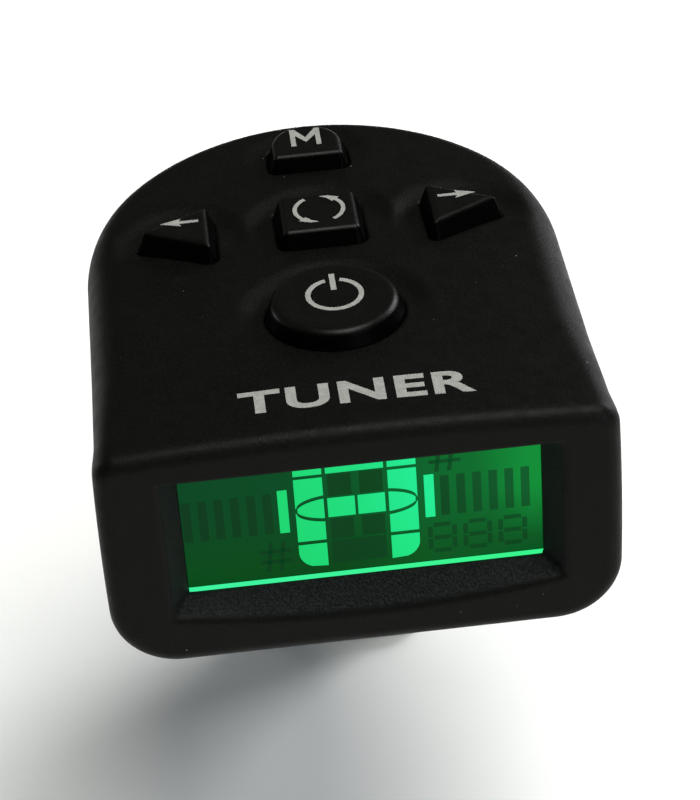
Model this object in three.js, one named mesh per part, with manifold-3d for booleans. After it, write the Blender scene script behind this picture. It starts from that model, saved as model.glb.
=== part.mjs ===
// Clip-on instrument tuner: a D-shaped head with a display in its flat front end and five keys on top,
// on a swivel over a ratchet clamp. Millimetres, +Z up. The origin is the centre of the upper pad's
// contact face, on the swivel axis. The display faces -Y.
import * as THREE from "three";
import { mergeVertices } from "three/addons/utils/BufferGeometryUtils.js";
import Module from "manifold-3d";

const wasm = await Module();
wasm.setup();

// ---- Driving dimensions ----
const BODY_WIDTH = 28;
const BODY_DEPTH = 34;
const BODY_HEIGHT = 14.7;
const CROWN = 0.5; // the top is this much lower at its side edges
const WALL = 1.5;
const EDGE_BEVEL = 0.8;
const BOTTOM_RADIUS = 3; // along the body's lower side edges

const WINDOW = { halfWidth: 9.85, bottom: 3.95, top: 12.4, bevel: 0.85, recess: 1.6 };

const KEY_PROUD = 0.9; // key tops above the crown of the body
const KEY_TRAVEL = 0.5;
const KEY_BEVEL = 0.4;
const KEY_GAP = 0.2; // between a key and the edge of its hole

const CELL = { radius: 10, height: 3.2 }; // CR2032
const HEAD_LIFT = 4.2; // underside of the head above the contact face
const PAD_THICKNESS = 1;
const GLUE_GAP = 0.05;
const REST_OPENING = 4.8; // between the pads at rest

const BAR = { halfWidth: 4.5, front: 15.5, back: 19, bottom: -23.1 };
const TOOTH = { pitch: 1.2, depth: 0.6, halfWidth: 2.8, top: -1.4, count: 15 };
const LEVER_PIVOT = { y: 21.1, z: -REST_OPENING - 4.4 };

// ---- Places worked out from them ----
const halfWidth = BODY_WIDTH / 2;
const frontY = halfWidth - BODY_DEPTH; // the back arc is centred on the swivel axis
const ceiling = BODY_HEIGHT - WALL;
const keyTop = BODY_HEIGHT + KEY_PROUD;

// ---- Materials ----
const material = (color, roughness, metalness = 0) =>
  new THREE.MeshStandardMaterial({ color, roughness, metalness });
const shellBlack = material(0x151514, 0.62);
const clampBlack = material(0x131313, 0.55);
const keyBlack = material(0x121212, 0.42);
const padRubber = material(0x1b1b1b, 0.9);
const displayGreen = material(0x138a3c, 0.15);
const guideGreen = material(0x35e07a, 0.3);
const whitePlastic = material(0xe6e6e0, 0.5);
const boardGreen = material(0x14532d, 0.5);
const chipBlack = material(0x0c0c0c, 0.4);
const steel = material(0xb9bcc0, 0.3, 1);
const brass = material(0xc9a24a, 0.35, 1);
const ceramicWhite = material(0xe9e4d6, 0.5);
const wireRed = material(0xa31515, 0.5);
const ribbonAmber = material(0xb9772a, 0.45);

// ---- Solids ----
function solid(geometry) {
  const bare = geometry.index ? geometry.toNonIndexed() : geometry;
  bare.deleteAttribute("normal");
  bare.deleteAttribute("uv");
  const merged = mergeVertices(bare, 1e-4);
  return new wasm.Manifold(
    new wasm.Mesh({
      numProp: 3,
      vertProperties: merged.attributes.position.array,
      triVerts: new Uint32Array(merged.index.array),
    }),
  );
}

function geometryOf(manifold) {
  const mesh = manifold.getMesh();
  const geometry = new THREE.BufferGeometry();
  geometry.setAttribute("position", new THREE.BufferAttribute(mesh.vertProperties, 3));
  geometry.setIndex(new THREE.BufferAttribute(mesh.triVerts, 1));
  geometry.computeVertexNormals();
  return geometry;
}

const join = (first, ...rest) => rest.reduce((all, next) => all.add(next), first);
const cut = (first, ...rest) => rest.reduce((all, next) => all.subtract(next), first);

// ---- Outlines: each is a list of Vector2 ----
function arc(x, y, radius, from, to, steps) {
  return Array.from({ length: steps + 1 }, (_, i) => {
    const angle = from + ((to - from) * i) / steps;
    return new THREE.Vector2(x + radius * Math.cos(angle), y + radius * Math.sin(angle));
  });
}

const circle = (x, y, radius, steps) => arc(x, y, radius, 0, 2 * Math.PI, steps).slice(1);

// A polygon, anticlockwise, whose corners [x, y, radius] are rounded by tangent arcs.
function rounded(corners, steps = 4) {
  const count = corners.length;
  return corners.flatMap(([x, y, radius], i) => {
    const corner = new THREE.Vector2(x, y);
    if (!radius) return [corner];
    const before = new THREE.Vector2(...corners[(i + count - 1) % count]).sub(corner).normalize();
    const after = new THREE.Vector2(...corners[(i + 1) % count]).sub(corner).normalize();
    const half = Math.acos(before.dot(after)) / 2;
    const inward = before.clone().add(after).normalize();
    const centre = corner.clone().addScaledVector(inward, radius / Math.sin(half));
    const first = corner.clone().addScaledVector(before, radius / Math.tan(half)).sub(centre).angle();
    const last = corner.clone().addScaledVector(after, radius / Math.tan(half)).sub(centre).angle();
    const turn = (last - first + 2 * Math.PI) % (2 * Math.PI);
    return arc(centre.x, centre.y, radius, first, first + turn, steps);
  });
}

const rectangle = (x0, x1, y0, y1, radius, steps) =>
  rounded([[x0, y0, radius], [x1, y0, radius], [x1, y1, radius], [x0, y1, radius]], steps);

// The body's plan: a straight front, straight sides and a half-round back about the origin.
function bodyPlan(half, front, cornerRadius, steps = 32) {
  const square = rounded([
    [-half, 0, 0],
    [-half, front, cornerRadius],
    [half, front, cornerRadius],
    [half, 0, 0],
  ]);
  return [...square.slice(1, -1), ...arc(0, 0, half, 0, Math.PI, steps)];
}

// ---- Solids from outlines ----
// An outline in the XY plane, raised from bottom to top, with an optional bevel on both ends.
function plate(outline, bottom, top, bevel = 0, bevelSteps = 2) {
  const geometry = new THREE.ExtrudeGeometry(new THREE.Shape(outline), {
    depth: top - bottom - 2 * bevel,
    bevelEnabled: bevel > 0,
    bevelSize: bevel,
    bevelThickness: bevel,
    bevelOffset: -bevel,
    bevelSegments: bevelSteps,
  });
  return solid(geometry.translate(0, 0, bottom + bevel));
}

// An outline of (y, z) points, carried along X.
function alongX(outline, x0, x1) {
  const shape = new THREE.Shape(outline);
  const geometry = new THREE.ExtrudeGeometry(shape, { depth: x1 - x0, bevelEnabled: false });
  const turn = new THREE.Matrix4().makeBasis(
    new THREE.Vector3(0, 1, 0),
    new THREE.Vector3(0, 0, 1),
    new THREE.Vector3(1, 0, 0),
  );
  return solid(geometry.applyMatrix4(turn).translate(x0, 0, 0));
}

// An outline of (x, z) points, carried along Y, with an optional straight bevel on both ends.
function alongY(outline, y0, y1, bevel = 0, bevelDepth = bevel) {
  const geometry = new THREE.ExtrudeGeometry(new THREE.Shape(outline), {
    depth: y1 - y0 - 2 * bevelDepth,
    bevelEnabled: bevel > 0,
    bevelSize: bevel,
    bevelThickness: bevelDepth,
    bevelOffset: -bevel,
    bevelSegments: 1,
  });
  return solid(geometry.rotateX(Math.PI / 2).translate(0, y1 - bevelDepth, 0));
}

function box(x0, x1, y0, y1, z0, z1) {
  const geometry = new THREE.BoxGeometry(x1 - x0, y1 - y0, z1 - z0);
  return solid(geometry.translate((x0 + x1) / 2, (y0 + y1) / 2, (z0 + z1) / 2));
}

function post(x, y, radius, z0, z1, sides = 20, topRadius = radius) {
  const geometry = new THREE.CylinderGeometry(topRadius, radius, z1 - z0, sides);
  return solid(geometry.rotateX(Math.PI / 2).translate(x, y, (z0 + z1) / 2));
}

function rodX(y, z, radius, x0, x1, sides = 16) {
  const geometry = new THREE.CylinderGeometry(radius, radius, x1 - x0, sides);
  return solid(geometry.rotateZ(Math.PI / 2).translate((x0 + x1) / 2, y, z));
}

// A profile of [radius, z] points turned about a vertical axis.
function turned(x, y, profile, sides = 32) {
  const points = profile.map(([radius, z]) => new THREE.Vector2(radius, z));
  return solid(new THREE.LatheGeometry(points, sides).rotateX(Math.PI / 2).translate(x, y, 0));
}

function wire(curve, radius, steps, sides = 6) {
  const section = new THREE.Shape(arc(0, 0, radius, 0, 2 * Math.PI, sides).slice(0, sides));
  return solid(new THREE.ExtrudeGeometry(section, { steps, extrudePath: curve, bevelEnabled: false }));
}

// A pan-head screw driven upwards: its head hangs below headTop, its shank rises to tip.
function screwUp(x, y, headRadius, headTop, headHeight, shankRadius, tip) {
  const headBottom = headTop - headHeight;
  const head = post(x, y, headRadius, headBottom, headTop, 18);
  const shank = post(x, y, shankRadius, headTop - 0.1, tip, 12);
  const slotHalf = headRadius * 0.7;
  const slotTop = headBottom + headHeight / 2;
  const slot = box(x - slotHalf, x + slotHalf, y - 0.15, y + 0.15, headBottom - 1, slotTop);
  return cut(join(head, shank), slot);
}

const root = new THREE.Group();
const head = new THREE.Group();
head.position.z = HEAD_LIFT;
root.add(head);

function add(group, name, shape, look) {
  const mesh = new THREE.Mesh(geometryOf(shape), look);
  mesh.name = name;
  group.add(mesh);
}

// ---- Keys ----
const POWER_KEY = { y: -8.2, radius: 3.9 };
const MODE_KEY = { y: 1.2, halfWidth: 2.55, halfDepth: 2.4, corner: 0.6 };
const ARROW_KEY = { y: 0.9, inner: 6.25, outer: 11.1, halfHeight: 2.75, corner: 0.5, stem: 8 };
const METRONOME_KEY = { halfWidth: 2.4, front: 7.6, arcY: 9.4, corner: 0.5 };

const leftArrow = rounded([
  [-ARROW_KEY.inner, ARROW_KEY.y + ARROW_KEY.halfHeight, ARROW_KEY.corner],
  [-ARROW_KEY.outer, ARROW_KEY.y, ARROW_KEY.corner],
  [-ARROW_KEY.inner, ARROW_KEY.y - ARROW_KEY.halfHeight, ARROW_KEY.corner],
]);
const rightArrow = leftArrow.map((point) => new THREE.Vector2(-point.x, point.y)).reverse();
const modeOutline = rectangle(
  -MODE_KEY.halfWidth,
  MODE_KEY.halfWidth,
  MODE_KEY.y - MODE_KEY.halfDepth,
  MODE_KEY.y + MODE_KEY.halfDepth,
  MODE_KEY.corner,
);
const metronomeOutline = [
  ...rounded([
    [-METRONOME_KEY.halfWidth, METRONOME_KEY.arcY, 0],
    [-METRONOME_KEY.halfWidth, METRONOME_KEY.front, METRONOME_KEY.corner],
    [METRONOME_KEY.halfWidth, METRONOME_KEY.front, METRONOME_KEY.corner],
    [METRONOME_KEY.halfWidth, METRONOME_KEY.arcY, 0],
  ]).slice(1, -1),
  ...arc(0, METRONOME_KEY.arcY, METRONOME_KEY.halfWidth, 0, Math.PI, 14),
];
const KEYS = {
  power: { outline: circle(0, POWER_KEY.y, POWER_KEY.radius, 36), stem: [0, POWER_KEY.y] },
  mode: { outline: modeOutline, stem: [0, MODE_KEY.y] },
  metronome: { outline: metronomeOutline, stem: [0, METRONOME_KEY.arcY] },
  left: { outline: leftArrow, stem: [-ARROW_KEY.stem, ARROW_KEY.y] },
  right: { outline: rightArrow, stem: [ARROW_KEY.stem, ARROW_KEY.y] },
};

// The same outline grown by a distance, each point moved along its corner's bisector.
function grown(outline, distance) {
  const count = outline.length;
  return outline.map((point, i) => {
    const into = point.clone().sub(outline[(i + count - 1) % count]).normalize();
    const out = outline[(i + 1) % count].clone().sub(point).normalize();
    const normal = new THREE.Vector2(into.y + out.y, -into.x - out.x).normalize();
    const lean = normal.dot(new THREE.Vector2(out.y, -out.x));
    return point.clone().addScaledVector(normal, distance / lean);
  });
}

const BOARD = { bottom: 8.15, top: 9.15, half: 11.9 };
const SWITCH_HEIGHT = 0.7;
const switchTop = BOARD.top + SWITCH_HEIGHT;
const FLANGE = { bottom: 11.9, top: 12.6, margin: 0.6 };

function keyCap({ outline, stem: [x, y] }) {
  return join(
    plate(outline, FLANGE.bottom, keyTop, KEY_BEVEL),
    plate(grown(outline, FLANGE.margin), FLANGE.bottom, FLANGE.top),
    post(x, y, 0.9, switchTop + KEY_TRAVEL + 0.1, FLANGE.bottom + 0.1, 12),
  );
}

// ---- Body shells ----
const CASE_BOSS = { x: 8.4, y: -11.5, radius: 1.7 };
const BOARD_BOSS = { x: 8.2, y: -6.2, radius: 1.5 };
const COVER = { half: 10.15, top: 1.3, pocketRadius: 7.8, pocketBottom: 0.7 };
const COVER_GAP = 0.15;
const skirtTop = COVER.top + 0.2;
const TRAY_SLOT = { half: 11, bottom: 2, top: 6.9 };
const both = (make) => [make(-1), make(1)];

function crownedSection(half, bottom, top, bottomRadius, topRadius) {
  const crown = [0.6, 0.3, 0, -0.3, -0.6].map((share) => [half * share, top - CROWN * share * share, 0]);
  return rounded([
    [-half, bottom, bottomRadius],
    [half, bottom, bottomRadius],
    [half, top - CROWN, topRadius],
    ...crown,
    [-half, top - CROWN, topRadius],
  ]);
}

// The window's recess: its sides and sill slope in to the display opening, and its top is square.
function windowRecess() {
  const { halfWidth: half, bottom, top, bevel, recess } = WINDOW;
  const outline = rectangle(-half - bevel, half + bevel, bottom - bevel, top + 2, 0);
  const slopes = alongY(outline, frontY - 5, frontY + recess, bevel, recess);
  const opening = box(-half, half, frontY - 1, frontY + recess + 0.5, bottom, top);
  return join(slopes.intersect(box(-halfWidth, halfWidth, frontY - 6, 0, 0, top)), opening);
}

function topShell() {
  const outer = plate(bodyPlan(halfWidth, frontY, 1), 0, BODY_HEIGHT, EDGE_BEVEL, 3).intersect(
    alongY(crownedSection(halfWidth, 0, BODY_HEIGHT, BOTTOM_RADIUS, 1), frontY, halfWidth),
  );
  const innerHalf = halfWidth - WALL;
  const cavity = plate(bodyPlan(innerHalf, frontY + WINDOW.recess, 0.5), skirtTop, ceiling);
  const coverHalf = COVER.half + COVER_GAP;
  const hollow = cut(
    outer,
    cavity,
    plate(bodyPlan(coverHalf, frontY + 2, 0.5), -1, skirtTop + 0.1),
    windowRecess(),
    box(-TRAY_SLOT.half, TRAY_SLOT.half, 4, halfWidth + 1, TRAY_SLOT.bottom, TRAY_SLOT.top),
  );
  const caseBoss = (side) =>
    post(side * CASE_BOSS.x, CASE_BOSS.y, CASE_BOSS.radius, skirtTop, ceiling + 0.2);
  const boardBoss = (side) =>
    post(side * BOARD_BOSS.x, BOARD_BOSS.y, BOARD_BOSS.radius, BOARD.top + GLUE_GAP, ceiling + 0.2);
  const pilots = [
    ...both((side) => post(side * CASE_BOSS.x, CASE_BOSS.y, 0.75, 1, 7, 12)),
    ...both((side) => post(side * BOARD_BOSS.x, BOARD_BOSS.y, 0.65, BOARD.bottom, 11.8, 12)),
  ];
  const keyHoles = Object.values(KEYS).map(({ outline }) =>
    plate(grown(outline, KEY_GAP), FLANGE.top, BODY_HEIGHT + 1),
  );
  return cut(join(hollow, ...both(caseBoss), ...both(boardBoss)), ...pilots, ...keyHoles);
}

// The hub under the cover is the swivel's shaft.
const HUB = { radius: 4, bottom: 2.3 - HEAD_LIFT };

function bottomCover() {
  const floor = plate(bodyPlan(COVER.half, frontY + 2 + COVER_GAP, 0.4), 0, COVER.top);
  const hub = post(0, 0, HUB.radius, HUB.bottom, 0.1, 28);
  const tongueRoot = box(-3, 3, 8, COVER.half - 0.3, COVER.top - 0.3, 2);
  const tongue = box(-3, 3, COVER.half - 0.5, COVER.half + 1.5, skirtTop + 0.06, 2);
  const screwHole = (side) => post(side * CASE_BOSS.x, CASE_BOSS.y, 0.9, -1, COVER.top + 1, 12);
  const screwRecess = (side) => post(side * CASE_BOSS.x, CASE_BOSS.y, 1.5, -1, 0.8, 18);
  return cut(
    join(floor, hub, tongueRoot, tongue),
    post(0, 0, COVER.pocketRadius, COVER.pocketBottom, COVER.top + 1, 32),
    post(0, 0, 0.8, HUB.bottom - 1, COVER.pocketBottom - 0.2, 12),
    ...both(screwHole),
    ...both(screwRecess),
  );
}

// A thin soft sheet between the keys' flanges and the ceiling keeps dust and drops out.
function keypadSeal() {
  const holes = Object.values(KEYS).map(({ outline }) => plate(grown(outline, KEY_GAP), 12, 14));
  const bossHoles = both((side) => post(side * CASE_BOSS.x, CASE_BOSS.y, CASE_BOSS.radius + 0.3, 12, 14));
  const boardHoles = both((side) =>
    post(side * BOARD_BOSS.x, BOARD_BOSS.y, BOARD_BOSS.radius + 0.3, 12, 14),
  );
  return cut(plate(bodyPlan(11.8, -13.2, 0.6, 28), 12.7, 13.1), ...holes, ...bossHoles, ...boardHoles);
}

add(head, "top_shell", topShell(), shellBlack);
add(head, "bottom_cover", bottomCover(), shellBlack);
add(head, "keypad_seal", keypadSeal(), padRubber);
for (const [name, key] of Object.entries(KEYS)) {
  add(head, `key_${name}`, keyCap(key), keyBlack);
  add(head, `switch_${name}`, post(...key.stem, 1.7, BOARD.top + GLUE_GAP, switchTop, 16, 1.1), steel);
}
for (const [side, sign] of [["left", -1], ["right", 1]]) {
  const coverScrew = screwUp(sign * CASE_BOSS.x, CASE_BOSS.y, 1.35, 0.75, 0.65, 0.65, 6.6);
  const boardScrew = screwUp(sign * BOARD_BOSS.x, BOARD_BOSS.y, 1.2, 8.1, 0.6, 0.55, 11.4);
  add(head, `cover_screw_${side}`, coverScrew, steel);
  add(head, `board_screw_${side}`, boardScrew, steel);
}

// ---- Display module, standing behind the window ----
const lcdFront = frontY + WINDOW.recess + 0.1;
const GLASS = { half: 10.9, bottom: 3.8, top: 12.6, ledge: 0.5, thickness: 0.55 };
const GUIDE = { half: 10.9, bottom: 2.2, lipTop: 3.7, thickness: 1.7 };
const FRAME = { half: 11.6, bottom: 2, top: 12.75, thickness: 0.6, wall: 0.5 };
const LED = { width: 0.65, depth: 1.3, height: 2.6, z: 7.8 };
const rearGlassY = lcdFront + GLASS.thickness + 0.1;
const guideY = rearGlassY + GLASS.thickness + 0.1;
const guideBack = guideY + GUIDE.thickness;
const frameY = guideBack + GLUE_GAP;
const frameBack = frameY + FRAME.thickness;

function lightGuide() {
  const panel = box(-GUIDE.half, GUIDE.half, guideY, guideBack, GUIDE.bottom, GLASS.top);
  const lip = box(-GUIDE.half, GUIDE.half, lcdFront, guideY + 0.1, GUIDE.bottom, GUIDE.lipTop);
  const notchHalf = LED.height / 2 + 0.3;
  const ledNotch = box(
    GUIDE.half - 0.75, GUIDE.half + 1, guideY - 0.2, guideBack + 1, LED.z - notchHalf, LED.z + notchHalf,
  );
  return cut(join(panel, lip), ledNotch);
}

function backlightFrame() {
  const inner = FRAME.half - FRAME.wall;
  return cut(
    box(-FRAME.half, FRAME.half, lcdFront + 0.2, frameBack, FRAME.bottom, FRAME.top),
    box(-inner, inner, lcdFront - 1, frameY, FRAME.bottom - 1, FRAME.top + 1),
  );
}

function backlightLed() {
  const x = GUIDE.half - 0.7;
  const y = guideY + 0.1;
  return box(x, x + LED.width, y, y + LED.depth, LED.z - LED.height / 2, LED.z + LED.height / 2);
}

// A flat ribbon from the top of the rear glass, over the frame and down on to the board.
function displayRibbon() {
  const thickness = 0.15;
  const over = FRAME.top + 0.07;
  const down = frameBack + 0.3;
  const foot = BOARD.top + 0.05;
  return alongX([
    new THREE.Vector2(rearGlassY + 0.1, over),
    new THREE.Vector2(down, over),
    new THREE.Vector2(down, foot),
    new THREE.Vector2(-11, foot),
    new THREE.Vector2(-11, foot + thickness),
    new THREE.Vector2(down + thickness, foot + thickness),
    new THREE.Vector2(down + thickness, over + thickness),
    new THREE.Vector2(rearGlassY + 0.1, over + thickness),
  ], -6, 6);
}

const glass = (y, top) => box(-GLASS.half, GLASS.half, y, y + GLASS.thickness, GLASS.bottom, top);
add(head, "lcd_front_glass", glass(lcdFront, GLASS.top - GLASS.ledge), displayGreen);
add(head, "lcd_rear_glass", glass(rearGlassY, GLASS.top), displayGreen);
add(head, "light_guide", lightGuide(), guideGreen);
add(head, "backlight_frame", backlightFrame(), whitePlastic);
add(head, "backlight_led", backlightLed(), whitePlastic);
add(head, "display_ribbon", displayRibbon(), ribbonAmber);

// ---- Circuit board and what it carries ----
function mainBoard() {
  const hole = (place, radius) => both((side) => post(side * place.x, place.y, radius, 7, 10, 16));
  return cut(
    plate(bodyPlan(BOARD.half, -BOARD.half, 0.6, 28), BOARD.bottom, BOARD.top),
    ...hole(CASE_BOSS, CASE_BOSS.radius + 0.3),
    ...hole(BOARD_BOSS, 0.75),
  );
}

add(head, "main_board", mainBoard(), boardGreen);
add(head, "controller_chip", box(-6.4, -1.9, -8.6, -4.1, 7.2, 8.1), chipBlack);
add(head, "crystal", plate(rectangle(3.2, 6.4, -8.2, -6.6, 0.6), 7.3, 8.1), steel);

// Two springy strips touch the cell: one on its top, one through the tray's front notch on its side.
const cellBottom = 3;
const cellTop = cellBottom + CELL.height;
const CONTACT = { top: 8.1, thickness: 0.3 };

function negativeContact() {
  const low = cellTop + 0.12;
  const { top, thickness } = CONTACT;
  const outline = rounded([
    [-3, low, 0],
    [-1, low, 0.3],
    [3.2, top - thickness, 0.3],
    [6, top - thickness, 0],
    [6, top, 0],
    [3.05, top, 0.4],
    [-1.1, low + thickness, 0.4],
    [-3, low + thickness, 0],
  ], 2);
  return alongX(outline, -1.4, 1.4);
}

function positiveContact() {
  const { top, thickness } = CONTACT;
  const outline = rounded([
    [-10.25 - thickness, 3.6, 0],
    [-10.25, 3.6, 0],
    [-10.25, top, 0],
    [-11.6, top, 0],
    [-11.6, top - thickness, 0],
    [-10.25 - thickness, top - thickness, 0.2],
  ], 2);
  return alongX(outline, -1.8, 1.8);
}

add(head, "contact_negative", negativeContact(), steel);
add(head, "contact_positive", positiveContact(), steel);

// ---- Pick-up: a piezo disc in the cover's pocket, above the hub ----
const PIEZO = { discBottom: 0.75, discTop: 0.97, ceramicBottom: 1, ceramicTop: 1.18, wire: 0.15 };

function piezoWire(x, from, startZ) {
  const path = new THREE.CatmullRomCurve3([
    new THREE.Vector3(x, from, startZ),
    new THREE.Vector3(x, -8, 1.72),
    new THREE.Vector3(x, -10, 1.8),
    new THREE.Vector3(x, -11.3, 2.6),
    new THREE.Vector3(x, -11.4, 5),
    new THREE.Vector3(x, -11.4, 8.05),
  ]);
  return wire(path, PIEZO.wire, 16);
}

add(head, "piezo_disc", post(0, 0, 7.5, PIEZO.discBottom, PIEZO.discTop, 32), brass);
add(head, "piezo_ceramic", post(0, 0, 5.4, PIEZO.ceramicBottom, PIEZO.ceramicTop, 28), ceramicWhite);
add(head, "piezo_wire_signal", piezoWire(2.6, -4, 1.4), wireRed);
add(head, "piezo_wire_ground", piezoWire(-2.6, -6.4, 1.25), chipBlack);

// ---- Battery tray, drawn out backwards ----
const TRAY = { half: 10.75, bottom: 2.15, top: 6.75, floor: 2.9, rim: 5.6 };

function batteryTray() {
  const plan = [
    ...arc(0, 0, TRAY.half, Math.PI, 2 * Math.PI, 28),
    new THREE.Vector2(TRAY.half, halfWidth),
    new THREE.Vector2(-TRAY.half, halfWidth),
  ];
  const blank = plate(plan, TRAY.bottom, TRAY.top).intersect(post(0, 0, halfWidth - 0.03, 0, 10, 64));
  return cut(
    blank,
    post(0, 0, CELL.radius + COVER_GAP, TRAY.floor, 10, 40),
    post(0, 0, halfWidth - WALL + 0.1, TRAY.rim, 10, 48),
    box(-2.4, 2.4, -12, -9, TRAY.floor, 10),
    rodX(halfWidth + 0.1, 4.3, 0.7, -4, 4, 12),
  );
}

function coinCell() {
  const { radius } = CELL;
  const canTop = cellTop - 0.35;
  const profile = [
    [0, cellBottom],
    [radius - 0.3, cellBottom],
    [radius, cellBottom + 0.3],
    [radius, canTop - 0.3],
    [radius - 0.5, canTop],
    [radius - 1.2, canTop],
    [radius - 1.4, cellTop],
    [0, cellTop],
  ];
  return turned(0, 0, profile, 40);
}

add(head, "battery_tray", batteryTray(), shellBlack);
add(head, "coin_cell", coinCell(), steel);

// ---- Swivel: the hub turns in the clamp's plate and a disc holds it there ----
const PLATE = { bottom: PAD_THICKNESS + GLUE_GAP, top: 3.75, radius: 9.5, counterbore: 2.35 };
const RETAINER = { radius: 5.6, bottom: 1.55, top: 2.25 };
const WASHER = { radius: 6.6, bottom: PLATE.top + 0.07, top: PLATE.top + 0.37 };
const ring = ({ radius, bottom, top }, bore) =>
  cut(post(0, 0, radius, bottom, top, 28), post(0, 0, bore, bottom - 1, top + 1, 28));
add(root, "swivel_retainer", ring(RETAINER, 0.85), steel);
add(root, "swivel_screw", screwUp(0, 0, 1.5, 1.5, 0.4, 0.7, 4.6), steel);
add(root, "friction_washer", ring(WASHER, HUB.radius + 0.3), steel);

// ---- Clamp frame: upper jaw plate and toothed bar in one moulding ----
const toothRoot = BAR.back - TOOTH.depth - 0.1;
const toothCrest = toothRoot + TOOTH.depth;
const toothFace = (i) => TOOTH.top - i * TOOTH.pitch;
const barMiddle = (BAR.front + BAR.back) / 2;

// Each tooth has a level upper face and a sloping underside, so the foot is only held from sliding down.
function rackTeeth() {
  const outline = [new THREE.Vector2(toothRoot - 0.4, TOOTH.top)];
  for (let i = 0; i < TOOTH.count; i++) {
    outline.push(new THREE.Vector2(toothRoot, toothFace(i)));
    outline.push(new THREE.Vector2(toothCrest, toothFace(i)));
  }
  outline.push(new THREE.Vector2(toothRoot, toothFace(TOOTH.count)));
  outline.push(new THREE.Vector2(toothRoot - 0.4, toothFace(TOOTH.count)));
  return alongX(outline.slice(1).reverse(), -TOOTH.halfWidth, TOOTH.halfWidth);
}

function clampFrame() {
  const disc = plate(circle(0, 0, PLATE.radius, 40), PLATE.bottom, PLATE.top, 0.5, 2);
  const arm = plate(rectangle(-5.5, 5.5, 2, BAR.back, 1.2), PLATE.bottom, PLATE.top, 0.4, 1);
  const barPlan = rectangle(-BAR.halfWidth, BAR.halfWidth, BAR.front, BAR.back, 0.5, 2);
  const bar = plate(barPlan, BAR.bottom, PLATE.top - 0.5);
  const width = TOOTH.halfWidth;
  const channel = box(-width, width, toothRoot, BAR.back + 1, toothFace(TOOTH.count), TOOTH.top);
  return cut(
    join(cut(join(disc, arm, bar), channel), rackTeeth()),
    post(0, 0, HUB.radius + 0.1, 0, 5, 28),
    post(0, 0, RETAINER.radius + 0.3, 0, PLATE.counterbore, 28),
    post(0, barMiddle, 0.7, BAR.bottom - 1, BAR.bottom + 5, 12),
  );
}

function barEndCap() {
  const top = BAR.bottom - GLUE_GAP;
  return cut(
    plate(rectangle(-5.8, 5.8, BAR.front - 0.6, BAR.back, 0.6, 2), top - 1, top),
    post(0, barMiddle, 0.8, top - 3, top + 1, 12),
    post(0, barMiddle, 1.5, top - 3, top - 0.45, 18),
  );
}

const endScrew = screwUp(0, barMiddle, 1.35, BAR.bottom - 0.55, 0.5, 0.6, BAR.bottom + 4.2);
add(root, "clamp_frame", clampFrame(), clampBlack);
add(root, "upper_pad", plate(circle(0, 0, 8.7, 40), 0, PAD_THICKNESS, 0.2, 1), padRubber);
add(root, "bar_end_cap", barEndCap(), clampBlack);
add(root, "bar_end_screw", endScrew, steel);

// ---- Sliding foot ----
const padTop = -REST_OPENING;
const armTop = padTop - PAD_THICKNESS - GLUE_GAP;
const FOOT = { tipY: 2.6, tipRadius: 6.8, armThickness: 2.7, front: 13, back: 22.4, height: 7.4, half: 7 };
const footBottom = padTop - FOOT.height;
const CHEEK = 2.95; // half the space between the cheeks that carry the lever
const BRIDGE = { back: 19.95, top: padTop - 5.6 }; // the wall that the lever's spring pushes on

function slidingFoot() {
  const { tipY, tipRadius, front, half } = FOOT;
  const armPlan = [
    ...arc(0, tipY, tipRadius, Math.PI, 2 * Math.PI, 20),
    new THREE.Vector2(5.8, front + 1),
    new THREE.Vector2(-5.8, front + 1),
  ];
  const arm = plate(armPlan, armTop - FOOT.armThickness, armTop, 0.5, 2);
  const carriage = plate(rectangle(-half, half, front, FOOT.back, 1.2), footBottom, padTop, 0.5, 2);
  const slide = BAR.halfWidth + 0.2;
  return cut(
    join(arm, carriage),
    box(-slide, slide, BAR.front - 0.2, BAR.back + 0.2, -30, 5),
    box(-CHEEK, CHEEK, BAR.back + 0.1, 30, BRIDGE.top, 5),
    box(-CHEEK, CHEEK, BRIDGE.back, 30, -30, 5),
    rodX(LEVER_PIVOT.y, LEVER_PIVOT.z, 0.85, -half - 1, half + 1),
  );
}

add(root, "sliding_foot", slidingFoot(), clampBlack);
const lowerPad = plate(circle(0, FOOT.tipY, 6.1, 36), padTop - PAD_THICKNESS, padTop, 0.2, 1);
add(root, "lower_pad", lowerPad, padRubber);

// ---- Release lever: its teeth sit in the rack, and pressing its tail towards the bar lifts them out ----
const TOOTH_GAP = 0.12;

// One lever tooth in the notch above rack tooth i, as points from its upper corner to its lower back.
function leverTooth(i) {
  const face = toothFace(i) + TOOTH_GAP;
  return [
    new THREE.Vector2(toothCrest + TOOTH_GAP, face + TOOTH.pitch - 3 * TOOTH_GAP),
    new THREE.Vector2(toothRoot + 1.6 * TOOTH_GAP, face),
    new THREE.Vector2(toothCrest + TOOTH_GAP, face),
  ];
}

function releaseLever() {
  const { y, z } = LEVER_PIVOT;
  const tips = [...leverTooth(4), ...leverTooth(5)];
  const back = y - 0.5;
  const teeth = [...tips, new THREE.Vector2(back, tips.at(-1).y), new THREE.Vector2(back, tips[0].y)];
  const arms = rounded([
    [19.5, z + 1.2, 0],
    [20.2, z - 0.6, 0],
    [21.8, z - 1.4, 0],
    [21.8, z - 7.3, 0.5],
    [23.2, z - 7.5, 0.6],
    [23, z - 0.2, 1.2],
    [21.4, z + 3.9, 0.8],
    [19.5, z + 3.9, 0.3],
  ]);
  const width = CHEEK - 0.25;
  const boss = rodX(y, z, 1.3, -width, width, 20);
  const toothWidth = TOOTH.halfWidth - 0.3;
  const whole = join(alongX(arms, -width, width), boss, alongX(teeth, -toothWidth, toothWidth));
  return cut(whole, rodX(y, z, 0.8, -4, 4));
}

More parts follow.
